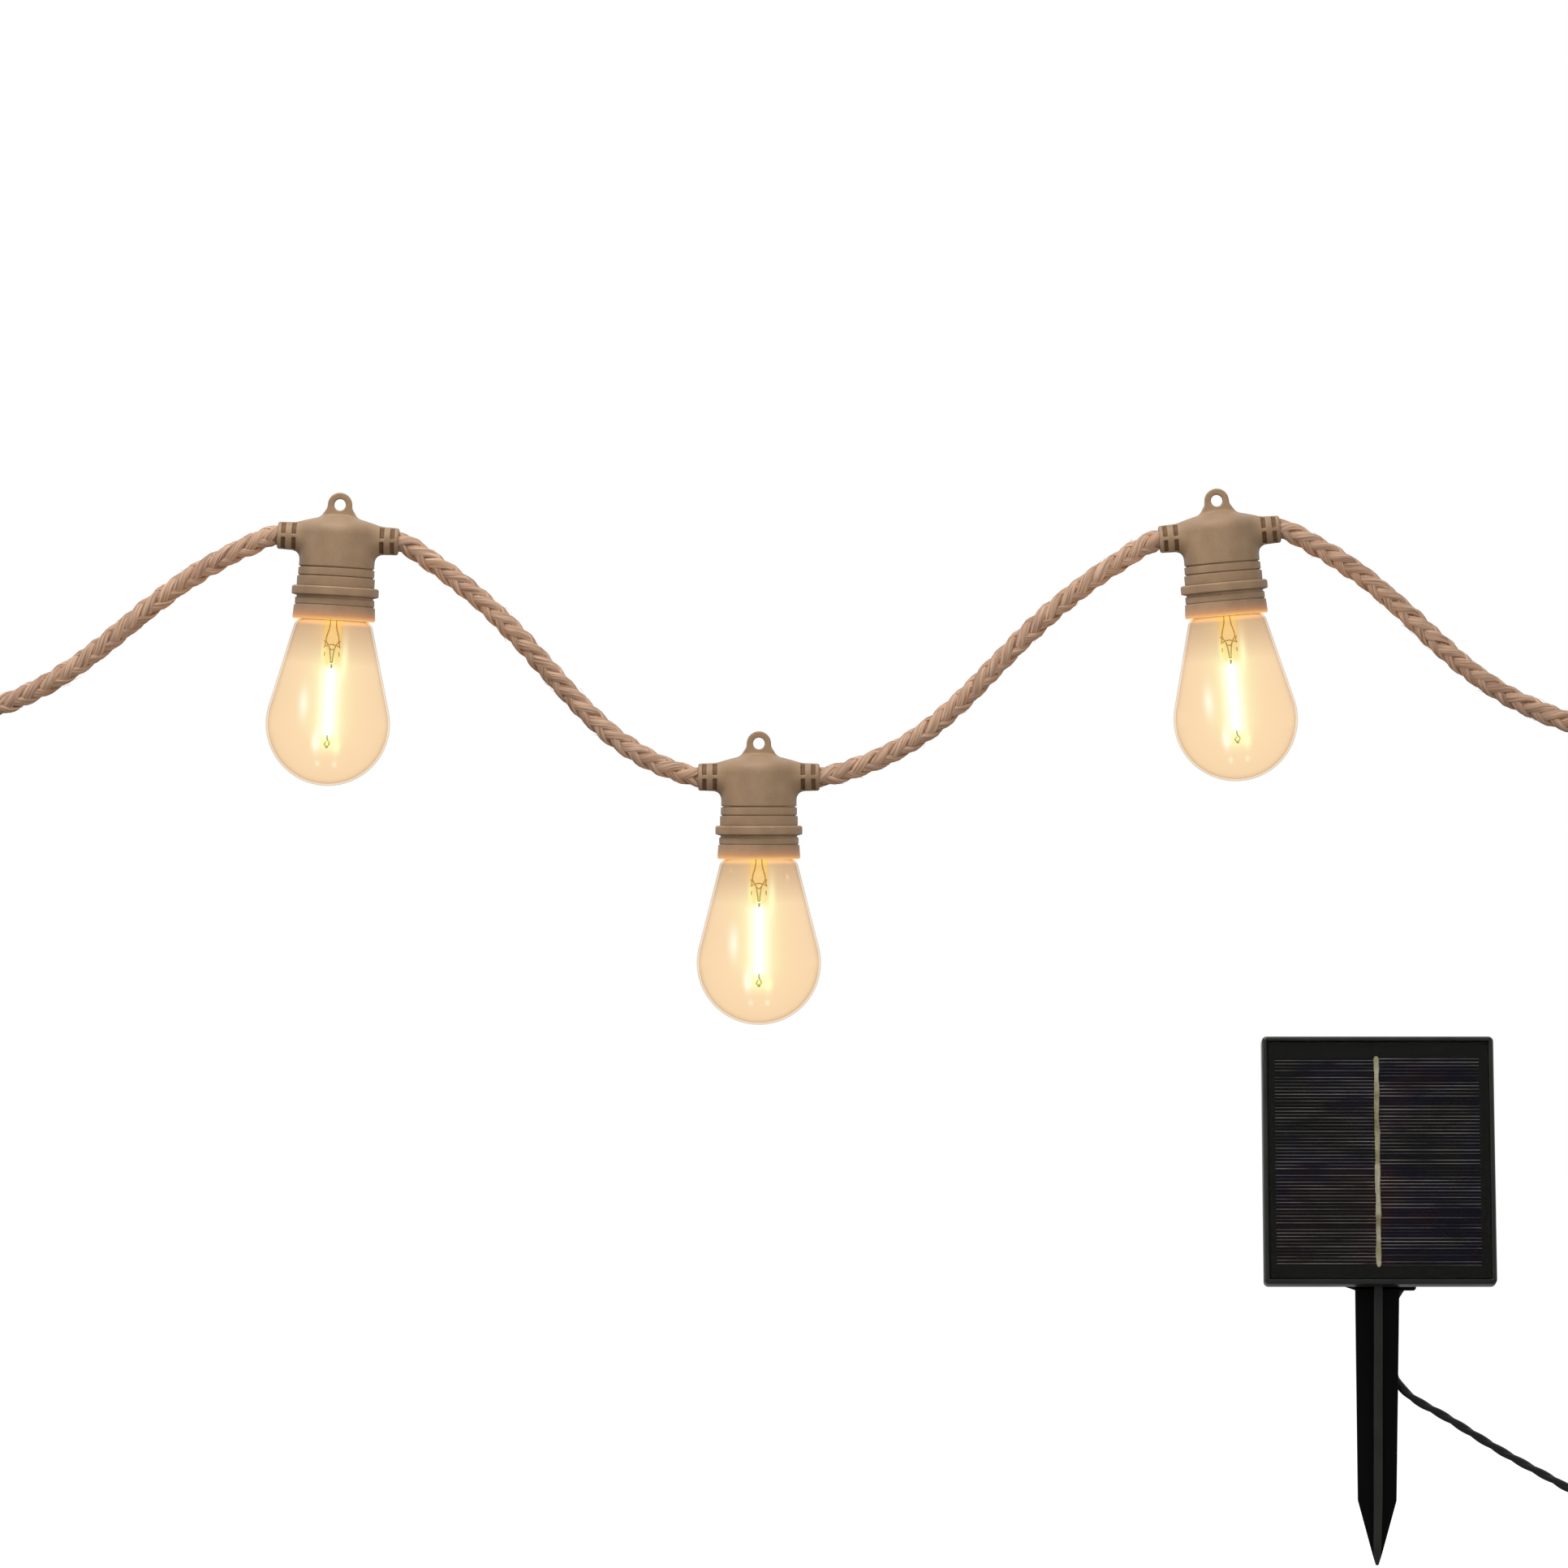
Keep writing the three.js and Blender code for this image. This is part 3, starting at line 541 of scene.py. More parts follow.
def metal(name, colour, rough, brushed=(1, 1, 1)):
    shader = Shader(name)
    streaks = shader.noise(900, 3, shader.stretched(brushed))
    tint = shader.mix(0.35, srgb(colour), shader.ramp(streaks, [(0.3, (150, 146, 138)), (0.7, (255, 255,
            255))]), "MULTIPLY")
    roughness = shader.ramp(streaks, [(0.2, (rough * 0.7,) * 3 + (1,)), (0.8, (rough * 1.5,) * 3 + (1,))])
    shader.surface(tint, roughness, shader.bump(streaks, 0.15, 0.03), Metallic=1.0)
    return shader.material


def view_line(shader):
    """Where the line of sight passes the lamp's own axis: sideways offset and height, in millimetres."""
    place = shader.axes()
    geometry = shader.node("ShaderNodeNewGeometry")
    turn = shader.node("ShaderNodeVectorTransform", vector_type="VECTOR", convert_from="WORLD",
                       convert_to="OBJECT")
    shader.link(geometry.outputs["Incoming"], turn.inputs[0])
    sight = shader.axes(turn.outputs[0])
    flat = shader.math("SQRT", shader.math("ADD", shader.math("MULTIPLY", sight[0], sight[0]),
                                           shader.math("MULTIPLY", sight[1], sight[1])))
    flat = shader.math("MAXIMUM", flat, 0.05)
    cross = shader.math("SUBTRACT", shader.math("MULTIPLY", place[1], sight[0]),
                        shader.math("MULTIPLY", place[0], sight[1]))
    offset = shader.math("DIVIDE", cross, flat)
    dot = shader.math("ADD", shader.math("MULTIPLY", place[0], sight[0]),
                      shader.math("MULTIPLY", place[1], sight[1]))
    reach = shader.math("DIVIDE", dot, shader.math("MULTIPLY", flat, flat))
    height = shader.math("SUBTRACT", place[2], shader.math("MULTIPLY", reach, sight[2]))
    return shader.math("MULTIPLY", offset, 1 / MM), shader.math("MULTIPLY", height, 1 / MM)


def soft_spot(shader, sideways, height, centre, size):
    """A Gaussian blob on the view plane, 1 at its middle."""
    across = shader.math("DIVIDE", shader.math("SUBTRACT", sideways, centre[0]), size[0])
    along = shader.math("DIVIDE", shader.math("SUBTRACT", height, centre[1]), size[1])
    total = shader.math("ADD", shader.math("MULTIPLY", across, across),
                        shader.math("MULTIPLY", along, along))
    return shader.math("EXPONENT", shader.math("MULTIPLY", total, -1.0))


def soft_bar(shader, sideways, height, top, foot, width, end):
    """A vertical bar of light with a Gaussian side and soft ends."""
    across = shader.math("DIVIDE", sideways, width)
    side = shader.math("EXPONENT", shader.math("MULTIPLY", shader.math("MULTIPLY", across, across), -1.0))
    below_top = shader.math("DIVIDE", shader.math("SUBTRACT", top, height), end, clamp=True)
    above_foot = shader.math("DIVIDE", shader.math("SUBTRACT", height, foot), end, clamp=True)
    return shader.math("MULTIPLY", side, shader.math("MULTIPLY", below_top, above_foot))


def lit_glass(name):
    """Thin amber-tinted glass that carries a painted halo round the filament, with faint painted inner
    reflections, all as emission.
    """
    shader = Shader(name)
    facing = shader.facing()
    tint = shader.ramp(facing, [
        (0.0, (0.994, 0.920, 0.812, 1)), (0.62, (0.990, 0.912, 0.806, 1)),
        (0.84, (0.95, 0.86, 0.75, 1)), (1.0, (0.80, 0.68, 0.56, 1))])
    above = shader.sloped(shader.axes()[2], 1 / (14 * MM), 58 / 14, clamp=True)
    tint = shader.mix(above, tint, (0.905, 0.89, 0.885, 1), "MULTIPLY")
    see_through = shader.node("ShaderNodeBsdfTransparent")
    shader.link(tint, see_through.inputs[0])
    gloss = shader.node("ShaderNodeBsdfGlossy")
    gloss.inputs["Roughness"].default_value = 0.04
    body = shader.node("ShaderNodeMixShader")
    shader.link(shader.math("MULTIPLY", shader.math("POWER", facing, 3.0), 0.10), body.inputs[0])
    shader.link(see_through.outputs[0], body.inputs[1])
    shader.link(gloss.outputs[0], body.inputs[2])
    sideways, height = view_line(shader)
    ring = shader.sloped(shader.axes()[2], 1 / MM, 42.8)
    ring = shader.math("EXPONENT", shader.math("MULTIPLY", shader.math("MULTIPLY", ring, ring), -2.0))
    # Painted light, all as emission: a halo round the filament, painted reflections of the filament and
    # studio lights inside the glass, and a painted orange glow round the shoulder.
    lights = [
        (soft_bar(shader, sideways, height, FILAMENT_TOP + 1.5, FILAMENT_FOOT - 2, 3.2, 3.0),
         (0.02, 0.09, 0.17)),
        (soft_bar(shader, sideways, height, FILAMENT_TOP + 9, FILAMENT_FOOT - 6, 6.5, 9.0),
         (0.006, 0.070, 0.024)),
        (soft_spot(shader, sideways, height, (-4.0, -86.3), (1.4, 3.4)), (0.01, 0.09, 0.13)),
        (soft_spot(shader, sideways, height, (3.5, -87.2), (1.3, 3.0)), (0.01, 0.08, 0.05)),
        (soft_spot(shader, sideways, height, (-9.2, -72.5), (1.7, 5.5)), (0.01, 0.07, 0.10)),
        (soft_spot(shader, sideways, height, (4.7, -54.5), (1.2, 6.5)), (0.04, 0.07, 0.045)),
        (soft_spot(shader, sideways, height, (-3.0, -53.5), (0.9, 4.0)), (0.04, 0.06, 0.02)),
        (soft_spot(shader, sideways, height, (0.0, -87.0), (3.6, 3.2)), (0.02, 0.07, 0.03)),
        (soft_spot(shader, sideways, height, (-3.0, -94.0), (0.8, 1.0)), (0.01, 0.05, 0.06)),
        (soft_spot(shader, sideways, height, (3.1, -94.0), (0.8, 1.0)), (0.01, 0.05, 0.06)),
        (soft_spot(shader, sideways, height, (0.0, -45.0), (5.5, 6.0)), (0.05, 0.03, 0.0)),
        (ring, (0.13, 0.05, 0.0)),
    ]
    total = None
    for strength, colour in lights:
        glow = shader.node("ShaderNodeVectorMath", operation="SCALE")
        glow.inputs[0].default_value = colour
        shader.link(strength, glow.inputs["Scale"])
        if total is None:
            total = glow.outputs[0]
        else:
            both = shader.node("ShaderNodeVectorMath", operation="ADD")
            shader.link(total, both.inputs[0])
            shader.link(glow.outputs[0], both.inputs[1])
            total = both.outputs[0]
    light = shader.node("ShaderNodeEmission")
    shader.link(total, light.inputs["Color"])
    added = shader.node("ShaderNodeAddShader")
    shader.link(body.outputs[0], added.inputs[0])
    shader.link(light.outputs[0], added.inputs[1])
    shader.link(added.outputs[0], shader.output.inputs["Surface"])
    return shader.material


def stem_glass():
    shader = Shader("stem_glass")
    tint = shader.ramp(shader.facing(), [(0.0, (1.0, 0.985, 0.88, 1)), (0.75, (0.99, 0.92, 0.66, 1)),
                                         (1.0, (0.84, 0.64, 0.30, 1))])
    see_through = shader.node("ShaderNodeBsdfTransparent")
    shader.link(tint, see_through.inputs[0])
    gloss = shader.node("ShaderNodeBsdfGlossy")
    gloss.inputs["Roughness"].default_value = 0.08
    body = shader.node("ShaderNodeMixShader")
    body.inputs[0].default_value = 0.10
    shader.link(see_through.outputs[0], body.inputs[1])
    shader.link(gloss.outputs[0], body.inputs[2])
    # Painted glow: a faint amber emission stands in for the filament's light in the stem.
    light = shader.node("ShaderNodeEmission")
    light.inputs["Color"].default_value = (1.0, 0.86, 0.42, 1)
    light.inputs["Strength"].default_value = 0.10
    added = shader.node("ShaderNodeAddShader")
    shader.link(body.outputs[0], added.inputs[0])
    shader.link(light.outputs[0], added.inputs[1])
    shader.link(added.outputs[0], shader.output.inputs["Surface"])
    return shader.material


def filament_glow():
    shader = Shader("filament_glow")
    beads = shader.noise(700, 2)
    colour = shader.ramp(beads, [(0.3, (255, 236, 180)), (0.7, (255, 250, 232))])
    shader.surface(colour, 0.5, Emission_Color=colour, Emission_Strength=4.0)
    return shader.material


def wire_painted_glow():
    shader = Shader("wire_painted_glow")
    tone = shader.ramp(shader.noise(900, 2), [(0.3, (120, 98, 44)), (0.7, (176, 148, 74))])
    # Painted glow: emission stands in for the filament's light on the wires.
    shader.surface(tone, 0.4, Metallic=0.6, Emission_Color=(0.5, 0.36, 0.10, 1), Emission_Strength=0.3)
    return shader.material


def ribbon_metal():
    shader = Shader("ribbon_metal")
    tone = shader.ramp(shader.noise(110, 4), [(0.25, (104, 98, 66)), (0.45, (158, 152, 112)),
                                             (0.6, (196, 190, 158)), (0.8, (150, 160, 134))])
    shader.surface(tone, 0.4, shader.bump(shader.noise(500, 3), 0.5, 0.1), Metallic=0.45)
    return shader.material


def clear_resin():
    shader = Shader("clear_resin")
    see_through = shader.node("ShaderNodeBsdfTransparent")
    see_through.inputs[0].default_value = (0.93, 0.93, 0.94, 1)
    gloss = shader.node("ShaderNodeBsdfGlossy")
    rough = shader.ramp(shader.noise(60, 4), [(0.3, (0.32, 0.32, 0.32, 1)), (0.8, (0.46, 0.46, 0.46, 1))])
    shader.link(rough, gloss.inputs["Roughness"])
    shader.link(shader.bump(shader.noise(45, 3), 0.12, 0.2), gloss.inputs["Normal"])
    body = shader.node("ShaderNodeMixShader")
    shader.link(shader.sloped(shader.math("POWER", shader.facing(), 4.0), 0.4, 0.006), body.inputs[0])
    shader.link(see_through.outputs[0], body.inputs[1])
    shader.link(gloss.outputs[0], body.inputs[2])
    shader.link(body.outputs[0], shader.output.inputs["Surface"])
    return shader.material


def circuit_green():
    shader = Shader("circuit_green")
    tracks = shader.noise(260, 1)
    colour = shader.ramp(tracks, [(0.46, (22, 72, 42)), (0.5, (46, 112, 66)), (0.54, (22, 72, 42))])
    shader.surface(colour, 0.4, shader.bump(tracks, 0.3, 0.05))
    return shader.material


def battery_sleeve():
    shader = Shader("battery_sleeve")
    colour = shader.ramp(shader.noise(40, 2), [(0.3, (44, 112, 66)), (0.7, (70, 146, 92))])
    shader.surface(colour, 0.3, shader.bump(shader.noise(800), 0.1, 0.03), Coat_Weight=0.3)
    return shader.material


def rubber_lip_painted_glow(name):
    # Painted glow on the skirt's lip, from -36.4 mm down to -41.9 mm.
    return tan_rubber(name, glow_from=-36.4, glow_to=-41.9)


# ------------------------------------------------------------------ lamp shapes

def smooth_min(first, second, width):
    share = np.clip(0.5 + 0.5 * (second - first) / width, 0, 1)
    return second * (1 - share) + first * share - width * share * (1 - share)


def smooth_max(first, second, width):
    return -smooth_min(-first, -second, width)


def holder_field(x, y, z):
    """Signed distance to the moulded upper part of a lamp: body, sleeves and hanging eye in one."""
    dome_radius, slot_floor, rib, slot_width = 27.0, 4.35, 0.65, 1.45
    around_z = np.sqrt(x * x + y * y)
    around_x = np.sqrt(y * y + (z + SWING_DROP) ** 2)
    reach = np.abs(x)
    dome = np.sqrt(around_z ** 2 + (z + 4 + dome_radius) ** 2) - dome_radius
    body = smooth_max(around_z - BODY_RADIUS, dome, 2.6)
    sleeve = smooth_max(around_x - SLEEVE_RADIUS + 0.03 * (reach - 12), reach - SLEEVE_REACH, 0.9)
    solid = smooth_min(body, sleeve, 3.4)
    ring = np.sqrt(x * x + z * z)
    foot = np.maximum(np.maximum((reach - 3.7 + 0.64 * z) * 0.85, z), -8 - z)
    eye = smooth_max(smooth_min(ring - 4.4, foot, 0.8), np.abs(y) - 1.6, 0.7)
    solid = smooth_min(solid, eye, 1.1)
    solid = smooth_max(solid, 2.1 - ring, 0.5)
    solid = np.maximum(solid, np.minimum(3.8 - around_x, reach - 14.2))
    solid = np.maximum(solid, 2.5 - around_x)
    solid = np.maximum(solid, np.minimum(10.4 - around_z, -15.9 - z))
    from_slot = np.abs(np.abs(reach - 17.8) - 1.9) - slot_width / 2
    slot = np.maximum(slot_floor - around_x, from_slot)
    slot = np.maximum(slot, np.maximum(rib - np.abs(y), rib - np.abs(z + SWING_DROP)))
    solid = np.maximum(solid, -slot)
    return np.maximum(solid, SHELL_TOP_END - z)


def holder_top(step=0.26):
    low, high = np.array([-23.0, -15.0, -23.6]), np.array([23.0, 15.0, 5.4])
    axes = [np.arange(low[i], high[i], step) for i in range(3)]
    field = holder_field(*np.meshgrid(*axes, indexing="ij", sparse=True)).astype(np.float32)
    grid = openvdb.FloatGrid(background=float(field.max()))
    grid.copyFromArray(field)
    points, quads = grid.convertToQuads(isovalue=0.0)
    return facing_out((points * step + low, [tuple(map(int, quad)) for quad in quads]))


def holder_bands():
    profile = [(10.4, -22.8), (13.1, -22.8), (13.1, -23.05, 0.1), (13.8, -23.3, 0.1), (13.8, -25.75, 0.15),
               (13.2, -26.1, 0.08), (14.1, -26.4, 0.15), (14.1, HOLDER_END, 0.3), (10.4, HOLDER_END)]
    return lathe(rounded(profile, 0.05, closed=True), 128, closed=True)


def holder_shape():
    return joined(holder_top(), holder_bands())


def skirt_shape():
    profile = [(10.5, -29.75), (15.2, -29.8, 0.2), (15.75, -30.3, 0.35), (15.75, -32.9, 0.35),
               (13.9, -33.4, 0.1), (13.9, -34.0, 0.1), (14.4, -34.2, 0.15), (14.4, -36.3, 0.15),
               (14.05, -36.55, 0.08), (14.7, -36.85, 0.15), (15.0, -41.2, 0.3), (14.75, -41.85, 0.2),
               (13.7, -41.85, 0.2), (13.3, -38.6), (10.5, -35.5)]
    return lathe(rounded(profile, 0.1, closed=True), 128, closed=True)


def thread_ring(height, root, depth, sides=60):
    """One ring of a right-handed round thread, whose ridge climbs one pitch for each turn."""
    angles = np.linspace(0, 2 * math.pi, sides, endpoint=False)
    radius = root + depth * (0.5 + 0.5 * np.cos(angles - 2 * math.pi * height / THREAD_PITCH))
    return np.stack([radius * np.cos(angles), radius * np.sin(angles), np.full(sides, height)], 1)


def thread_rings(top, foot, root, per_turn=14):
    rows = int((top - foot) / THREAD_PITCH * per_turn)
    return [thread_ring(top + (foot - top) * i / rows, root, THREAD_DEPTH) for i in range(rows + 1)]


def cap_shape():
    rings = [thread_ring(-20.0, 3.6, 0), thread_ring(-20.15, 5.2, 0), thread_ring(-20.6, 6.15, 0)]
    rings += thread_rings(-21.85, -32.4, 6.15)
    rings += [thread_ring(-33.8, 6.6, 0), thread_ring(-34.7, 6.85, 0), thread_ring(-34.9, 6.8, 0)]
    rings += [thread_ring(-34.9, 5.75, 0), thread_ring(-24.0, 5.75, 0)]
    return skin(rings)


def shell_shape():
    inner = thread_rings(-22.56, -31.02, 6.83)
    rings = [thread_ring(-20.6, 8, 0), thread_ring(-20.6, 7.5, 0), *inner,
             thread_ring(-33.6, 7.5, 0), thread_ring(-33.6, 8, 0)]
    return skin(rings, closed=True)


def bulb_profile(inset, steps):
    """The bulb's outline from its neck to its crown."""
    shoulder = [(5.4, -30.5), (5.4, -35.6, 2.0), (10.2, -40.6, 2.0), (12.9, -42.3, 1.5), (14.1, -43.6, 1.2)]
    outline = [(point[0] - inset, *point[1:]) for point in shoulder]
    radius = BULB_RADIUS - inset
    for i in range(steps + 1):
        angle = CONE_ANGLE - (CONE_ANGLE + math.pi / 2) * i / steps
        if i < steps:
            outline.append((radius * math.cos(angle), BULB_CENTRE + radius * math.sin(angle), 0))
    return rounded(outline, 0.5) + [(0.02, BULB_CENTRE - radius)]


def glass_shape():
    outer = bulb_profile(0, 40)
    inner = bulb_profile(GLASS_WALL, 40)
    return lathe(list(reversed(outer)) + list(inner), 96)


def stem_shape():
    """The glass stem, round at its flare and pressed flat where it grips the wires."""
    outline = [(4.1, 4.1, -33.2), (4.1, 4.1, -34.6), (3.5, 3.5, -36.8), (3.3, 3.3, -40), (3.2, 3.2, -46),
               (3.1, 2.9, -48.6), (3.2, 2.0, -50.4), (3.1, 1.5, -52.2), (3.0, 1.4, -55.6), (2.3, 1.2,
                       -57.2),
               (1.0, 0.8, -57.7)]
    angles = np.linspace(0, 2 * math.pi, 40, endpoint=False)
    rings = [np.stack([wide * np.cos(angles), deep * np.sin(angles), np.full(40, height)], 1)
             for wide, deep, height in outline]
    return skin(rings)


def wire(points, radius=0.22, step=0.4):
    return round_cable(spline(points, step), radius, 8)


def stem_wires():
    """The lead-in wires and the anchor wires that show in the pressed part of the stem."""
    shapes = []
    for side in (-1, 1):
        shapes.append(wire([(side * 1.1, 0, -36), (side * 1.2, 0, -44), (side * 2.3, 0, -49.2),
                            (side * 1.1, 0, -51.6),
                            (side * 0.5, 0, -54.5), (side * 0.25, 0, -57.4)]))
        shapes.append(wire([(side * 2.9, -0.6, -49.2), (side * 2.5, -0.4, -50.4),
                            (side * 2.9, -0.2, -51.9)], 0.22))
        shapes.append(wire([(side * 2.6, -0.4, -53.4), (side * 2.7, -0.2, -54.9)], 0.2))
    shapes.append(wire([(-2.4, -0.5, -51.4), (0, -0.8, -50.7), (2.4, -0.5, -51.4)], 0.22))
    shapes.append(wire([(-1.0, -0.6, -51.9), (0, -0.7, -52.7), (1.0, -0.6, -51.9)], 0.2))
    return joined(*shapes)


def filament_rod():
    profile = [(0, FILAMENT_TOP), (0.9, FILAMENT_TOP - 0.05), (1.2, FILAMENT_TOP - 0.4),
               (1.2, FILAMENT_FOOT + 0.4), (0.9, FILAMENT_FOOT + 0.05), (0, FILAMENT_FOOT)]
    return lathe([(max(radius, 0.01), height) for radius, height in profile], 24)


def filament_wires():
    """The wires above and below the glowing rod, with the hook that steadies its foot."""
    top = wire([(0.2, 0, -57.5), (0.1, 0, -58.5), (0, 0, -59.5)], 0.3)
    foot = wire([(0, 0, -83.3), (0.1, 0, -85.0), (0.9, -0.4, -86.4), (0, -0.8, -87.6), (-0.9, -0.4, -86.8),
                 (-0.3, 0, -85.8)], 0.26)
    knot = moved(lathe([(0.02, 0.6), (0.55, 0.3), (0.6, 0), (0.45, -0.5), (0.02, -0.7)], 16),
                 (0, -0.4, -87.6))
    return joined(top, foot, knot)


def build_lamps():
    tan, groove_shade, lip = tan_rubber("tan_rubber"), groove_shadow(), rubber_lip_painted_glow("tan_rubber_lip_painted_glow")
    black, rubber = black_plastic("insert_black", 30), black_plastic("gasket_rubber", 16, 0.7)
    nickel, brass = metal("nickel", (206, 202, 190), 0.25, (1, 1, 6)), metal("brass", (196, 152, 84), 0.3)
    holder = piece("holder", holder_shape(), [tan, groove_shade], sharp=50)
    # The faces on the floors of the sleeves' slots take the second material, painted shadow in the recesses.
    for polygon in holder.data.polygons:
        x, y, z = (value / MM for value in polygon.center)
        if 14.9 < abs(x) < 20.7 and math.hypot(y, z + SWING_DROP) < 4.6 and math.hypot(y,
                z + SWING_DROP) > 4.1:
            polygon.material_index = 1
    rows = [
        (holder, "holder", "", "tan_rubber"),
        (piece("skirt", skirt_shape(), lip), "skirt", "", "tan_rubber"),
        (piece("insert", lathe([(0.01, -16.2), (9.6, -16.2), (10, -16.6), (10, -34), (8.4, -34),
                                (8.4, -17.9), (0.01, -17.9)], 64),
               black), "socket_insert", "", "black_plastic"),
        (piece("shell", shell_shape(), nickel), "screw_shell", "", "nickel_plate"),
        (piece("contact", lathe([(0.01, -18.2), (3.4, -18.2), (3.4, -18.6), (1.6, -19.0), (0.01, -19.0)],
                                32), brass),
         "centre_contact", "", "brass"),
        (piece("gasket", lathe(rounded([(10.9, -38.9), (12.9, -38.9), (12.9, -40.7), (10.9, -40.7)], 0.6,
                                       closed=True),
                               64, closed=True), rubber), "bulb_gasket", "_bulb_seat", "black_rubber"),
        (piece("glass", glass_shape(), lit_glass("lit_glass")), "bulb_glass", "_bulb", "bulb_glass"),
        (piece("cap", cap_shape(), nickel), "bulb_cap", "_bulb", "nickel_plate"),
        (piece("tip", lathe([(0.01, -19.2), (1.2, -19.2), (2.3, -19.55), (2.3, -19.8), (0.01, -19.8)], 32),
               brass),
         "cap_contact", "_bulb", "brass"),
        (piece("stem", stem_shape(), stem_glass()), "bulb_stem", "_bulb", "bulb_glass"),
        (piece("stem_wires", stem_wires(), wire_painted_glow()), None, "_bulb", "steel"),
        (piece("rod", filament_rod(), filament_glow()), "filament", "_bulb", "filament"),
        (piece("rod_wires", filament_wires(), wire_painted_glow()), None, "_bulb", "steel"),
    ]
    for side in SIDES:
        for thing, node, where, slot in rows:
            copy = bpy.data.objects.new(f"{side}_{thing.name}_look", thing.data)
            copy.matrix_world = LAMPS[side]
            bpy.context.scene.collection.objects.link(copy)
            body = f"{side}_bulb" if where == "_bulb" else f"{side}_lamp"
            if where == "_bulb_seat":
                body = f"{side}_bulb_seat"
            nodes = [f"{side}_{node}"] if node else []
            mounted(copy, body, slot, *nodes)
        filament_lamp(side)
    for thing, *_ in rows:
        bpy.data.objects.remove(thing)


def filament_lamp(side):
    """A warm light on the filament, so that the glow falls on the holder and the rope."""
    light = bpy.data.lights.new(f"{side}_filament_light", "POINT")
    light.energy = 0.06
    light.color = (1.0, 0.72, 0.40)
    light.shadow_soft_size = 6 * MM
    lamp = bpy.data.objects.new(light.name, light)
    lamp.matrix_world = LAMPS[side] @ Matrix.Translation((0, 0, (FILAMENT_TOP + FILAMENT_FOOT) / 2 * MM))
    bpy.context.scene.collection.objects.link(lamp)
    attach(lamp, f"{side}_bulb")


# ------------------------------------------------------------------ rope, cable and leads

STRANDS = 8
STRAND_WIDTH = 4.1
STRAND_THICKNESS = 1.45
BRAID_RADIUS = 2.75
WEAVE_DEPTH = 0.42


def resampled(line, step):
    along = lengths_along(line)
    count = int(along[-1] / step)
    places = np.linspace(0, along[-1], count + 1)
    return np.stack([np.interp(places, along, line[:, i]) for i in range(3)], 1), places


def wander(places, random_source, size, length):
    """A smooth random drift along the rope."""
    total = np.zeros(len(places))
    for stretch in (1.0, 0.53, 0.31):
        phase = random_source.uniform(0, 2 * math.pi)
        total += stretch * np.sin(2 * math.pi * places / (length * stretch * 1.3) + phase)
    return size * total / 1.84


def eased(value):
    share = np.clip(value, 0, 1)
    return share * share * (3 - 2 * share)


def grip_scale(places, start_grip, finish_grip):
    """How far the rope is squeezed: to its neck inside a grip, easing out to full size beyond it."""
    scale = np.ones(len(places))
    for distance, grip in ((places, start_grip), (places[-1] - places, finish_grip)):
        scale = np.minimum(scale, ROPE_NECK + (1 - ROPE_NECK) * eased((distance - grip + 1.5) / 5))
    return scale


def braided_rope(name, line, grips, seed):
    sides, step = 28, 0.85
    chance = random.Random(seed)
    line, places = resampled(line, step)
    heading, across, up = line_frames(line)
    scale = grip_scale(places, *grips)
    turns = 2 * math.pi * places / BRAID_PITCH
    shapes, values = [], {"along": [], "around": [], "strand": [], "depth": []}
    section = np.linspace(0, 2 * math.pi, sides, endpoint=False)
    for strand in range(STRANDS):
        way = 1 if strand < STRANDS / 2 else -1
        angle = way * turns + strand * 4 * math.pi / STRANDS + wander(places, chance, 0.13, 31)
        weave = way * np.cos(STRANDS / 4 * turns + way * (strand * math.pi - math.pi / 4))
        radius = BRAID_RADIUS + WEAVE_DEPTH * weave + wander(places, chance, 0.20, 17)
        out = np.cos(angle)[:, None] * across + np.sin(angle)[:, None] * up
        middle = line + out * (radius * scale)[:, None]
        aim = np.gradient(middle, axis=0)
        aim /= np.linalg.norm(aim, axis=1)[:, None]
        out -= aim * np.einsum("ij,ij->i", out, aim)[:, None]
        out /= np.linalg.norm(out, axis=1)[:, None]
        sideways = np.cross(aim, out)
        wide = STRAND_WIDTH / 2 * scale * (1 + wander(places, chance, 0.10, 23))
        thick = STRAND_THICKNESS / 2 * scale
        u = wide[:, None] * np.sign(np.cos(section)) * np.abs(np.cos(section)) ** 0.85
        v = thick[:, None] * np.sin(section)
        twist = places[:, None] * 0.55 + chance.uniform(0, 6)
        v = v + 0.11 * np.sin(section) * np.cos(2 * math.pi * u / 1.3 + twist)
        v = v - u * u / (2 * BRAID_RADIUS + 1.2)
        rings = middle[:, None] + u[:, :, None] * sideways[:, None] + v[:, :, None] * out[:, None]
        shapes.append(skin(rings))
        # depth carries the jute's painted shade: low deep in the braid and at each strand's edges.
        from_middle = np.linalg.norm(rings - line[:, None], axis=2) / scale[:, None]
        edge = eased((np.abs(u) / wide[:, None] - 0.70) / 0.3)
        floor = BRAID_RADIUS - WEAVE_DEPTH - STRAND_THICKNESS / 2
        depth = np.clip((from_middle - floor) / (2 * WEAVE_DEPTH + STRAND_THICKNESS), 0,
                        1) * (1 - 0.5 * edge)
        fill = {"along": np.repeat(places, sides), "around": u.ravel(),
                "strand": np.full(u.size, strand + seed), "depth": depth.ravel()}
        for key, value in fill.items():
            values[key].append(np.concatenate([value, [0, 0]]))
    for _ in range(int(places[-1] / 4)):
        shape, hair = stray_fibre(line, across, up, heading, scale, chance)
        shapes.append(shape)
        for key in values:
            values[key].append(np.full(len(shape[0]), {"depth": 0.9, "along": hair}.get(key, 0.4)))
    rope = piece(name, joined(*shapes), JUTE, sharp=80)
    for key, value in values.items():
        attribute = rope.data.attributes.new(key, "FLOAT", "POINT")
        attribute.data.foreach_set("value", np.concatenate(value).astype(np.float32))
    return rope


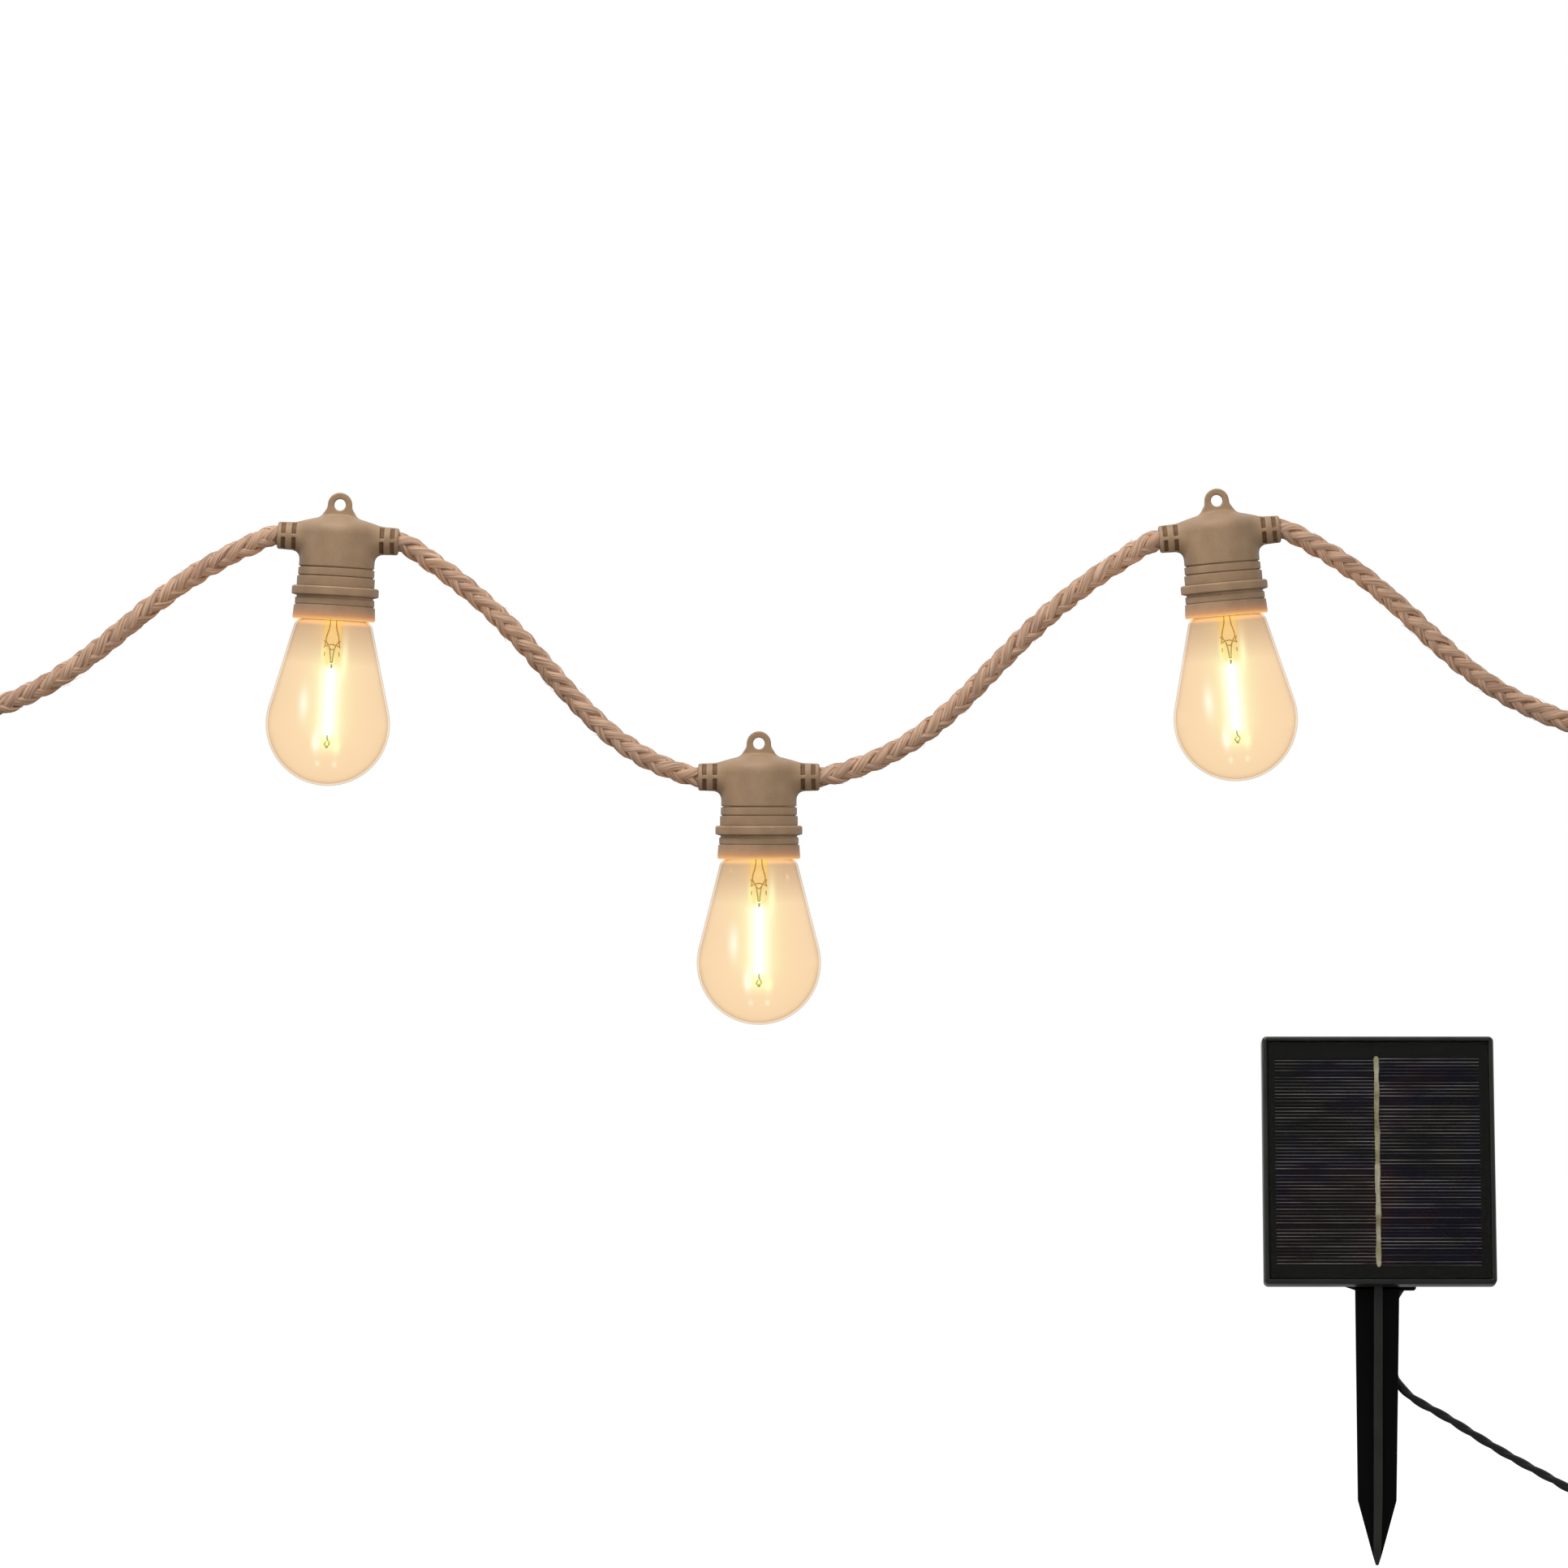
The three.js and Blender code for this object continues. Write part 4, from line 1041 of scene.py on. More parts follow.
def stray_fibre(line, across, up, heading, scale, chance):
    """A fine hair of jute lying along the rope with its end lifted."""
    at = chance.randrange(14, len(line) - 20)
    angle = chance.uniform(0, 2 * math.pi)
    way = chance.choice((-1, 1))
    length = chance.uniform(2.0, 4.5)
    lift = chance.uniform(0.1, 0.9)
    swirl = chance.uniform(-1, 1)
    points = []
    for share in np.linspace(0, 1, 6):
        turn = angle + swirl * share
        out = math.cos(turn) * across[at] + math.sin(turn) * up[at]
        along = heading[at] * way * length * share
        points.append(line[at] + along + out * (3.7 * scale[at] + lift * share ** 2))
    return round_cable(np.array(points), 0.06, 3), at


def core_line():
    """The middle of the string's cable, read from the CAD core cable, from left to right."""
    centres = centre_line("core_cable", 4.4)
    first = min(range(len(centres)), key=lambda i: centres[i][0])
    return in_order(centres, first)


def build_rope():
    line = core_line()
    spans = {"rope_span_far_left": (10.5, 8.0), "rope_span_left": (8.0, 8.0),
             "rope_span_right": (8.0, 8.0), "rope_span_far_right": (8.0, 10.5)}
    for seed, (name, grips) in enumerate(spans.items()):
        low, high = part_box(name)
        inside = (line[:, 0] > low.x / MM - 0.01) & (line[:, 0] < high.x / MM + 0.01)
        rope = braided_rope(name + "_look", spline(line[inside], 0.8), grips, seed)
        mounted(rope, "string", "jute", name)
    jacket = black_plastic("cable_jacket", 16, 0.55)
    core = piece("core_cable_look", round_cable(spline(line, 1.5), 1.75, 16), jacket)
    mounted(core, "string", "black_rubber", "core_cable")
    return line


def wire_pair(line, radius=1.2, offset=0.37, pitch=17.0):
    """The paths of two insulated wires laid round one another, and the wires' radius."""
    line, places = resampled(line, 0.7)
    _, across, up = line_frames(line)
    paths = []
    for half in (0, math.pi):
        angle = 2 * math.pi * places / pitch + half
        paths.append(line + offset * (np.cos(angle)[:, None] * across + np.sin(angle)[:, None] * up))
    return paths, radius


def cabled(name, paths, radius, jacket):
    """One piece made of round wires along the given paths."""
    return piece(name, joined(*[round_cable(path, radius, 12) for path in paths]), jacket)


def aimed_place(origin, heading):
    heading = Vector(heading).normalized()
    place = Vector((0, 0, 1)).rotation_difference(heading).to_matrix().to_4x4()
    place.translation = Vector(origin) * MM
    return place


def rope_ends(line):
    """The moulded cap on the rope's free end, and the moulding that passes the lead on from the other."""
    tan = tan_rubber("end_tan")
    cap_profile = [(0.01, 16.5), (4.2, 16.5, 0.8), (5.4, 15.3, 0.8)]
    for ring in (12.5, 9.5, 6.5, 3.5):
        cap_profile += [(5.4, ring + 0.5, 0.15), (4.95, ring + 0.2, 0.1), (4.95, ring - 0.2, 0.1),
                        (5.4, ring - 0.5, 0.15)]
    cap_profile += [(5.4, 0, 0.4), (4.3, 0), (4.3, 10.8), (0.01, 10.8)]
    start_heading = line[0] - line[1]
    start_heading /= np.linalg.norm(start_heading)
    cap = piece("rope_end_cap_look", lathe(rounded(cap_profile, 0.1), 64), tan,
                aimed_place(line[1], start_heading))
    mounted(cap, "string", "tan_rubber", "rope_end_cap")
    finish_heading = line[-1] - line[-2]
    finish_heading /= np.linalg.norm(finish_heading)
    sleeve_profile = [(4.3, 0), (5.4, 0, 0.4), (5.4, 14, 2.0)]
    for ring in (17, 19.5, 22):
        here = 5.4 - (ring - 14) * 0.2167
        sleeve_profile += [(here + 0.1, ring - 0.6, 0.1), (here - 0.45, ring - 0.3, 0.1),
                           (here - 0.5, ring + 0.3, 0.1), (here - 0.05, ring + 0.6, 0.1)]
    sleeve_profile += [(2.8, 26, 0.4), (1.9, 26), (1.9, 10.8), (4.3, 10.8)]
    sleeve = piece("rope_end_sleeve_look", lathe(rounded(sleeve_profile, 0.05, closed=True), 64,
                                                 closed=True), tan,
                   aimed_place(line[-2], finish_heading))
    mounted(sleeve, "string", "tan_rubber", "rope_end_sleeve")


def lead_line(node, first):
    centres = centre_line(node, 3.4)
    return in_order(centres, first(centres))


def build_leads():
    jacket = black_plastic("lead_jacket", 12, 0.42)
    upper = lead_line("upper_lead", lambda c: min(range(len(c)), key=lambda i: c[i][0]))
    mounted(cabled("upper_lead_look", *wire_pair(spline(upper, 0.8)), jacket), "string", "black_rubber",
            "upper_lead")
    lower = lead_line("lower_lead", lambda c: min(range(len(c)),
                                                  key=lambda i: -c[i][2] if c[i][0] < 245 else 1e9))
    tail_top, tail_end = (np.array(PANEL @ Vector((TAIL_SIDE * MM, PIVOT_BEHIND_FACE * MM, height * MM))) / MM
                          for height in (TAIL_TOP, TAIL_END))
    line = np.concatenate([[tail_top, tail_end], lower[1:]])
    paths, radius = wire_pair(spline(line, 0.8))
    # The bend reaches from the housing to just past the flange; that piece is a fixed mesh attached to no
    # body. The rest of the lead never moves.
    past_flange = int(np.argmax(paths[0][:, 2] < lower[4][2]))
    bent = cabled("lower_lead_bend_look", [path[:past_flange + 2] for path in paths], radius, jacket)
    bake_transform(bent)
    still = cabled("lower_lead_look", [path[past_flange:] for path in paths], radius, jacket)
    mounted(still, "string", "black_rubber", "lower_lead")


def build_connector():
    rubber, plastic = black_plastic("connector_rubber", 15, 0.5), black_plastic("nut_black", 20, 0.4)
    socket_profile = [(1.9, 34), (3.1, 34, 0.5)]
    for ring in (32, 30, 28.4):
        here = 3.2 + (34 - ring) * 0.31
        socket_profile += [(here, ring + 0.45, 0.15), (here - 0.5, ring + 0.2, 0.1),
                           (here - 0.45, ring - 0.3, 0.1), (here + 0.1, ring - 0.5, 0.15)]
    socket_profile += [(5.4, 26.6, 1.0), (5.4, 10, 0.3), (4.9, 9.4), (4.9, -6), (3.8, -6), (3.8, 5),
                       (1.9, 5)]
    socket = piece("connector_socket_look", lathe(rounded(socket_profile, 0.1, closed=True), 64,
                                                  closed=True), rubber, COLLAR)
    mounted(socket, "string", "black_rubber", "connector_socket")
    plug_profile = [(1.9, -34), (1.9, 3.6), (3.4, 3.6), (3.4, -6.6), (6, -6.6, 0.3), (6, -9, 0.3),
                    (5, -9.6), (5, -26.8, 1.0)]
    for ring in (-28.4, -30, -32):
        here = 3.2 + (34 + ring) * 0.26
        plug_profile += [(here + 0.1, ring + 0.5, 0.15), (here - 0.45, ring + 0.3, 0.1),
                         (here - 0.5, ring - 0.2, 0.1), (here, ring - 0.45, 0.15)]
    plug_profile += [(3.1, -34, 0.5)]
    plug = piece("connector_plug_look", lathe(rounded(plug_profile, 0.1, closed=True), 64, closed=True),
                 rubber, COLLAR)
    mounted(plug, "string", "black_rubber", "connector_plug")
    nut = piece("connector_nut_look", knurled_nut(), plastic, COLLAR)
    mounted(nut, "collar_nut", "black_plastic", "connector_nut")


def knurled_nut(flutes=22, sides=176):
    angles = np.linspace(0, 2 * math.pi, sides, endpoint=False)
    flute = 0.5 * np.maximum(0, np.cos(flutes * angles)) ** 2
    outer = [(7.1, -12, 0), (7.6, -11.8, 0), (7.95, -11.2, 0.1), (8, -10.4, 1), (8, 6.2, 1),
             (7.95, 7.1, 0.1), (7.6, 7.8, 0), (7.1, 8, 0)]
    inner = [(5.3, 8, 0), (5.3, -6.2, 0), (6.4, -6.3, 0), (6.4, -9.3, 0), (5.3, -9.6, 0), (5.3, -12, 0)]
    rings = []
    for radius, height, cut in outer + inner:
        reach = radius - flute * cut
        rings.append(np.stack([reach * np.cos(angles), reach * np.sin(angles), np.full(sides, height)], 1))
    return skin(rings, closed=True)


# ------------------------------------------------------------------ solar panel

def frame_shape():
    profile = [(41.8, 2.4), (1.8, 2.4), (1.8, 0.5), (1.7, 0.2), (1.45, 0.0), (1.1, 0.0), (0.75, 0.12),
               (0.4, 0.38), (0.12, 0.8),
               (0.0, 1.3), (0.0, 7.4), (0.2, 7.85), (0.6, 8.0), (2.2, 8.0), (2.2, 5.6), (41.8, 5.6)]
    return tray(profile, PANEL_WIDTH, PANEL_HEIGHT, 1.8)


def slab_shape(width, height, front, back, corner=0.7, bevel=0.12, centre=(0, 0)):
    half = min(width, height) / 2 - 0.2
    profile = [(half, front), (bevel, front), (0, front + bevel), (0, back - bevel), (bevel, back),
               (half, back)]
    return tray(profile, width, height, corner, centre)


def cell_material():
    """Silicon strips with fine silver contact lines, which stop short of the edge."""
    shader = Shader("solar_cell")
    x, _, z = shader.axes()
    x = shader.math("MULTIPLY", x, 1 / MM)
    z = shader.math("MULTIPLY", z, 1 / MM)
    # Painted sheen: coloured tints in the base colour, reddish near the busbar, stand in for the cells'
    # coloured reflections.
    sheen = shader.noise(22, 3)
    base = shader.ramp(sheen, [(0.30, (7, 8, 7)), (0.44, (12, 11, 14)), (0.52, (9, 8, 24)),
                               (0.60, (18, 8, 13)), (0.70, (10, 13, 9))])
    near_bar = shader.math("EXPONENT", shader.math("MULTIPLY",
                                                   shader.math("ABSOLUTE", shader.math("ADD", x, -2.0)),
                                                   -0.16))
    red = shader.math("MULTIPLY", near_bar, shader.ramp(shader.noise(40, 1), [(0.45, (0, 0, 0)), (0.6, (255,
            255, 255))]))
    base = shader.mix(shader.math("MULTIPLY", red, 0.7), base, srgb((40, 10, 13)))
    side = shader.math("GREATER_THAN", x, -0.5)
    shifted = shader.math("ADD", z, shader.math("MULTIPLY", side, 0.62))
    cycle = shader.math("FRACT", shader.math("DIVIDE", shifted, 1.24))
    from_line = shader.math("ABSOLUTE", shader.math("SUBTRACT", cycle, 0.5))
    line = shader.math("SUBTRACT", 1.0, shader.math("DIVIDE", from_line, 0.17), clamp=True)
    row_light = shader.noise(1.0, 1, shader.vector(shader.math("MULTIPLY", side, 7.3), 0.0,
                                                   shader.math("MULTIPLY", z, 0.55)))
    row_light = shader.ramp(row_light, [(0.38, (56, 56, 56)), (0.58, (255, 255, 255))])
    patch = shader.noise(1.0, 2, shader.vector(shader.math("MULTIPLY", x, 0.05), 3.0,
                                               shader.math("MULTIPLY", z, 0.22)))
    patch = shader.ramp(patch, [(0.34, (120, 120, 120)), (0.62, (255, 255, 255))])
    bright = shader.math("MULTIPLY", row_light, patch)
    bright = shader.math("MULTIPLY", bright, shader.math("ADD", 0.8, shader.math("MULTIPLY", near_bar,
            0.6)))
    inside = shader.math("LESS_THAN", shader.math("ABSOLUTE", shader.math("ADD", x, 0.4)), 37.0)
    inside = shader.math("MULTIPLY", inside, shader.math("LESS_THAN", shader.math("ABSOLUTE",
            shader.math("ADD", z, 0.5)), 38.0))
    share = shader.math("MULTIPLY", shader.math("MULTIPLY", line, bright), inside, clamp=True)
    margin = shader.mix(inside, srgb((20, 21, 17)), base)
    colour = shader.mix(share, margin, srgb((150, 147, 130)))
    shader.surface(colour, 0.4, shader.bump(share, 0.3, 0.05), Specular_IOR_Level=0.06)
    return shader.material


def ribbon_shape():
    """The soldered busbar ribbon: a thin strip with crumpled width and height."""
    chance = random.Random(5)
    heights = np.linspace(-39.0, 38.1, 240)
    half = 0.92 + wander(heights, chance, 0.16, 11) + wander(heights, chance, 0.06, 2.3)
    shift = -0.55 + wander(heights, chance, 0.14, 19)
    lift = wander(heights, chance, 0.05, 4.1)
    taper = np.minimum(1, np.minimum(heights + 39.2, 38.4 - heights) / 1.2)
    rings = []
    for height, wide, middle, rise, end in zip(heights, half, shift, lift, taper):
        wide = wide * (0.35 + 0.65 * max(end, 0))
        front = 1.3 - rise
        rings.append([(middle - wide, 1.46, height), (middle - wide * 0.8, front, height),
                      (middle - wide * 0.1, front + 0.07, height), (middle + wide * 0.8, front - 0.03,
                                                                    height), (middle + wide, 1.46, height)])
    return skin(rings)


def cross_head_screw():
    """A small pan-head screw with a cross recess, drawn about Z with its head on top."""
    sides = 48
    angles = np.linspace(0, 2 * math.pi, sides, endpoint=False)
    rings = []
    for radius, height in [(0.01, 3.9), (1.3, 3.9), (1.3, 8.6), (2.4, 8.6), (2.4, 9.0), (2.25, 9.45),
                           (1.9, 9.8)]:
        rings.append(np.stack([radius * np.cos(angles), radius * np.sin(angles), np.full(sides, height)],
                              1))
    for radius in np.linspace(1.75, 0.02, 16):
        x, y = radius * np.cos(angles), radius * np.sin(angles)
        crossed = (np.minimum(np.abs(x), np.abs(y)) < 0.3) & (radius < 1.4)
        height = 10.1 - 0.02 * radius ** 2 - 0.7 * crossed
        rings.append(np.stack([x, y, height], 1))
    return skin(rings)


def housing_shape():
    middle = 8.0
    flange = tray([(29, 5.9), (0.2, 5.9), (0, 6.1), (0, 7.9), (0.4, 8.3), (6.5, 8.3)], 70, 68, 3,
                  (0, middle))
    shell = tray([(28.4, 5.9), (0, 5.9), (0.0, 9.0), (0.3, 14), (0.5, 24.2), (0.9, 25.6), (1.9, 26.6),
                  (3.4, 27.0), (28.4, 27.0)],
                 60, 58, 4, (0, middle))
    inner = tray([(28.4, 6.2), (2.2, 6.2), (2.2, 24.8), (28.4, 24.8)], 60, 58, 4, (0, middle))
    rim = [(5.6, 26.7), (7.4, 26.7), (7.4, 27.3), (7.1, 27.6), (5.9, 27.6), (5.6, 27.3)]
    collar = moved(turned_to_back(lathe(rim, 64, closed=True)), (0, 0, -6))
    knuckle_profile = [(2.35, -4.1), (4.7, -4.1), (5, -3.8), (5, 3.8), (4.7, 4.1), (2.35, 4.1)]
    knuckle = moved(turned_to_x(lathe(knuckle_profile, 64, closed=True)),
                    (0, PIVOT_BEHIND_FACE, -PIVOT_BELOW_CENTRE))
    web_profile = [(3.2, 14.6), (0.3, 14.6), (0, 14.9), (0, 23.0), (0.3, 23.3), (3.2, 23.3)]
    web = tray(web_profile, 8.2, 10.0, 1.0, (0, -24.1))
    ribs = [tray([(0.7, 7.8), (0, 7.8), (0.2, 16.5), (0.7, 24.0)], 1.5, 6, 0.4, (x, -22.6)) for x in (-22,
            -12, 22)]
    return joined(flange, shell, inner, collar, knuckle, web, *ribs)


def button_shape():
    profile = [(0.01, 28.55), (2.6, 28.7), (4.2, 28.8), (4.8, 28.5), (5, 28.0), (5, 24.6), (6.4, 24.6),
               (6.4, 22.9),
               (1.6, 22.9), (1.6, 19.9), (0.01, 19.9)]
    ring = [(2.7, 28.7), (3.0, 28.95), (3.4, 28.95), (3.7, 28.7)]
    body = lathe(profile, 64)
    return turned_to_back(joined(body, lathe(ring, 64, closed=True)))


def tail_shape():
    """The strain relief where the lead leaves the housing."""
    profile = [(1.7, -12), (1.7, -17.4), (3.7, -17.6), (3.7, -18.7), (2.7, -18.7), (2.7, -21.3),
               (3.7, -21.3), (3.7, -22.4, 0.4)]
    for ring in (-23.3, -24.6):
        profile += [(3.3, ring + 0.3, 0.1), (2.6, ring + 0.1, 0.1), (2.6, ring - 0.2, 0.1),
                    (3.1, ring - 0.4, 0.1)]
    profile += [(2.6, -25.6, 0.3), (1.4, -26.0), (1.4, -12)]
    return moved(lathe(rounded(profile, 0.1, closed=True), 48, closed=True), (14, PIVOT_BEHIND_FACE, 0))


def battery_shapes():
    sleeve = lathe(rounded([(0.01, -24.4), (6.2, -24.6, 0.6), (7.25, -23.6, 0.8), (7.25, 23.2, 0.8),
                            (5.6, 24.0, 0.5), (0.01, 24.0)], 0.3), 64)
    ends = joined(lathe(rounded([(0.01, -25), (5.2, -25, 0.3), (5.4, -24.3), (0.01, -24.3)], 0.1), 48),
                  lathe(rounded([(0.01, 25), (2.5, 25, 0.3), (2.7, 23.9), (0.01, 23.9)], 0.1), 48))
    return [moved(turned_to_x(shape), (0, 15.6, 24)) for shape in (sleeve, ends)]


def build_panel():
    body = "panel"
    plastic = black_plastic("panel_plastic", 22, 0.3, 0.12)
    housing_plastic = black_plastic("housing_plastic", 20, 0.42, 0.5)
    rubber = black_plastic("button_rubber", 16, 0.6)
    steel = metal("screw_steel", (176, 176, 174), 0.3, (1, 8, 1))
    inset = 2 * 2.1
    mounted(piece("panel_frame_look", frame_shape(), plastic, PANEL), body, "black_plastic", "panel_frame")
    mounted(piece("solar_cell_look", slab_shape(PANEL_WIDTH - inset, PANEL_HEIGHT - inset, 1.45, 2.1),
                  cell_material(), PANEL),
            body, "solar_cell", "solar_cell")
    mounted(piece("busbar_ribbon", ribbon_shape(), ribbon_metal(), PANEL), body, "solar_cell")
    mounted(piece("panel_window_look", slab_shape(PANEL_WIDTH - inset, PANEL_HEIGHT - inset, 0.3, 1.15, 0.7,
                                                  0.2), clear_resin(), PANEL),
            body, "panel_resin", "panel_window")
    mounted(piece("rear_housing_look", housing_shape(), housing_plastic, PANEL), body, "black_plastic",
            "rear_housing")
    mounted(piece("power_button_look", button_shape(), rubber, PANEL @ Matrix.Translation((0, 0, -6 * MM))),
            "button", "black_rubber", "power_button")
    mounted(piece("lead_tail_look", tail_shape(), rubber, PANEL), body, "black_rubber", "lead_tail")
    sleeve, ends = battery_shapes()
    mounted(piece("battery_look", sleeve, battery_sleeve(), PANEL), body, "battery_sleeve",
            "battery")
    mounted(piece("battery_ends", ends, steel, PANEL), body, "steel")
    board = joined(slab_shape(42, 20, 14, 15.6, 0.6, 0.1, (0, -6)),
                   slab_shape(6, 6, 15.5, 18.6, 0.4, 0.2, (0, -6)),
                   slab_shape(5, 4, 15.5, 16.8, 0.2, 0.1, (-8, -6)),
                   moved(turned_to_back(lathe(rounded([(0.01, 18), (2, 18, 0.3), (2, 15.5), (0.01, 15.5)],
                                                      0.1), 32)), (8.5, 0, -6)))
    mounted(piece("circuit_board_look", board, circuit_green(), PANEL), body, "circuit_board",
            "circuit_board")
    screw = turned_to_back(cross_head_screw())
    for number in range(1, 5):
        low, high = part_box(f"housing_screw_{number}")
        middle = PANEL.inverted() @ ((low + high) / 2)
        place = PANEL @ Matrix.Translation((middle.x, 0, middle.z))
        mounted(piece(f"housing_screw_{number}_look", screw, steel, place), body, "steel",
                f"housing_screw_{number}")


# ------------------------------------------------------------------ stake and pivot

def bevelled_plate(outline, half, bevel=0.35):
    """A flat blade from an outline in X and Z, with softened edges."""
    outline = np.array(outline, float)
    middle = outline.mean(0)
    inner = outline + np.sign(middle - outline) * bevel
    rings = []
    for edge, depth in ((inner, -half), (outline, -half + bevel), (outline, half - bevel), (inner, half)):
        rings.append([(x, depth, z) for x, z in edge])
    return skin(rings)


def quarter_turn(shape):
    points = np.asarray(shape[0], float)
    return np.stack([-points[:, 1], points[:, 0], points[:, 2]], 1), shape[1]


def block(width, depth, height, centre, corner=0.5, bevel=0.3):
    """A softened block from rounded rectangles stacked along Y."""
    half = depth / 2
    reach = min(width, height) / 2 - 0.05
    profile = [(reach, -half), (bevel, -half), (0, -half + bevel), (0, half - bevel), (bevel, half),
               (reach, half)]
    return moved(tray(profile, width, height, corner), centre)


def blade(levels):
    """A tapering blade from (height, half width, half thickness), with softened corners."""
    rings = []
    for height, wide, thick in levels:
        rings.append([(x, y, height) for x, y in rounded_loop(wide, thick, min(0.35, thick * 0.6))])
    return skin(rings)


def stake_levels(top_half):
    """The outline shared by both blades, in heights from the pivot."""
    return [(STAKE_TOP, top_half, 1.5), (STAKE_SHOULDER, 7, 1.5), (STAKE_TIP + 4, 1.7, 1.35),
            (STAKE_TIP, 0.5, 0.4)]


def stake_shape():
    """Drawn about the stake's centre line, with z measured from the pivot."""
    flange_outline = [(-15, 1.5), (-14.6, 0.7), (-8, -1.5), (13, -1.5), (13.7, -0.8), (13.7, 1.5)]
    flange = moved(bevelled_plate(flange_outline, 3.5, 0.25), (0, -2.5, STAKE_TOP))
    hub = block(17, 10.5, 3, (0, -0.75, STAKE_TOP), 0.6, 0.4)
    ears = []
    for x in (-6.4, 6.4):
        ring_profile = [(2.3, -1.8), (4.9, -1.8), (5.2, -1.5), (5.2, 1.5), (4.9, 1.8), (2.3, 1.8)]
        ring = turned_to_x(lathe(ring_profile, 64, closed=True))
        leg = block(3.6, 9.4, 7.4, (0, 0, -6.0), 0.3, 0.3)
        ears.append(moved(joined(ring, leg), (x, 0, 0)))
    return joined(blade(stake_levels(8)), flange, hub, *ears)


def bolt_shape():
    shank = lathe([(0.01, -14), (1.7, -14), (2, -13.7), (2, 8.5), (0.01, 8.5)], 48)
    head = lathe(rounded([(0.01, 8.5), (3.6, 8.5), (3.6, 10.2, 0.8), (2.4, 11.0, 0.6), (0.01, 11.0)], 0.1),
                 64)
    return turned_to_x(joined(shank, head))


def knob_shape():
    hub = turned_to_x(lathe(rounded([(2.35, -8.6), (4.2, -8.6, 0.3), (4.2, -14.6, 0.5), (3.4, -16.0, 0.4),
                                     (0.01, -16.0)], 0.1)
                            + [(0.01, -14.4), (2.35, -14.4)], 64, closed=True))
    half_wing = [(-1.7, 2.0), (-1.7, 7.4), (-1.3, 8.3), (0.0, 8.6), (1.3, 8.3), (1.7, 7.4), (1.9, 2.0)]
    wings = []
    for side in (-1, 1):
        wings.append(moved(bevelled_plate([(x, side * z) for x, z in half_wing], 1.2, 0.35), (-13.4, 0, 0)))
    return joined(hub, *wings)


def build_stake():
    plastic = black_plastic("stake_plastic", 4, 0.45, 0.3, 0.10)
    steel = metal("bolt_steel", (170, 170, 168), 0.3)
    mounted(piece("stake_look", stake_shape(), plastic, PIVOT), "string", "black_plastic", "stake")
    # The rib is the same black plastic as the blades: its lighter tone is a painted highlight, and the
    # blades' darker tone painted shade of their recess.
    rib = piece("stake_rib_look", quarter_turn(blade(stake_levels(7))),
                black_plastic("rib_plastic_painted_highlight", 27, 0.4, 0.3), PIVOT)
    mounted(rib, "string", "black_plastic")
    mounted(piece("pivot_bolt_look", bolt_shape(), steel, PIVOT), "string", "steel", "pivot_bolt")
    mounted(piece("wing_knob_look", knob_shape(), black_plastic("knob_plastic", 20, 0.4), PIVOT), "knob",
            "black_plastic", "wing_knob")


# ------------------------------------------------------------------ stage, light and camera

def camera_only(shader, seen, felt):
    """One colour strength for the camera and another for light that reaches the object."""
    path = shader.node("ShaderNodeLightPath")
    return shader.math("ADD", shader.math("MULTIPLY", path.outputs["Is Camera Ray"], seen - felt), felt)


def floor_material():
    shader = Shader("pale_floor")
    diffuse = shader.node("ShaderNodeBsdfDiffuse")
    tone = shader.ramp(shader.noise(3, 2), [(0.3, (148, 148, 148)), (0.7, (152, 152, 152))])
    shader.link(tone, diffuse.inputs["Color"])
    light = shader.node("ShaderNodeEmission")
    shader.link(camera_only(shader, 0.82, 0.0), light.inputs["Strength"])
    both = shader.node("ShaderNodeAddShader")
    shader.link(diffuse.outputs[0], both.inputs[0])
    shader.link(light.outputs[0], both.inputs[1])
    shader.link(both.outputs[0], shader.output.inputs["Surface"])
    return shader.material


def build_stage():
    ground = -298.6
    reach = 2600.0
    points = [(-reach, -reach, ground), (reach, -reach, ground), (reach, reach, ground),
              (-reach, reach, ground)]
    floor = piece("floor", (points, [(0, 1, 2, 3)]), floor_material())


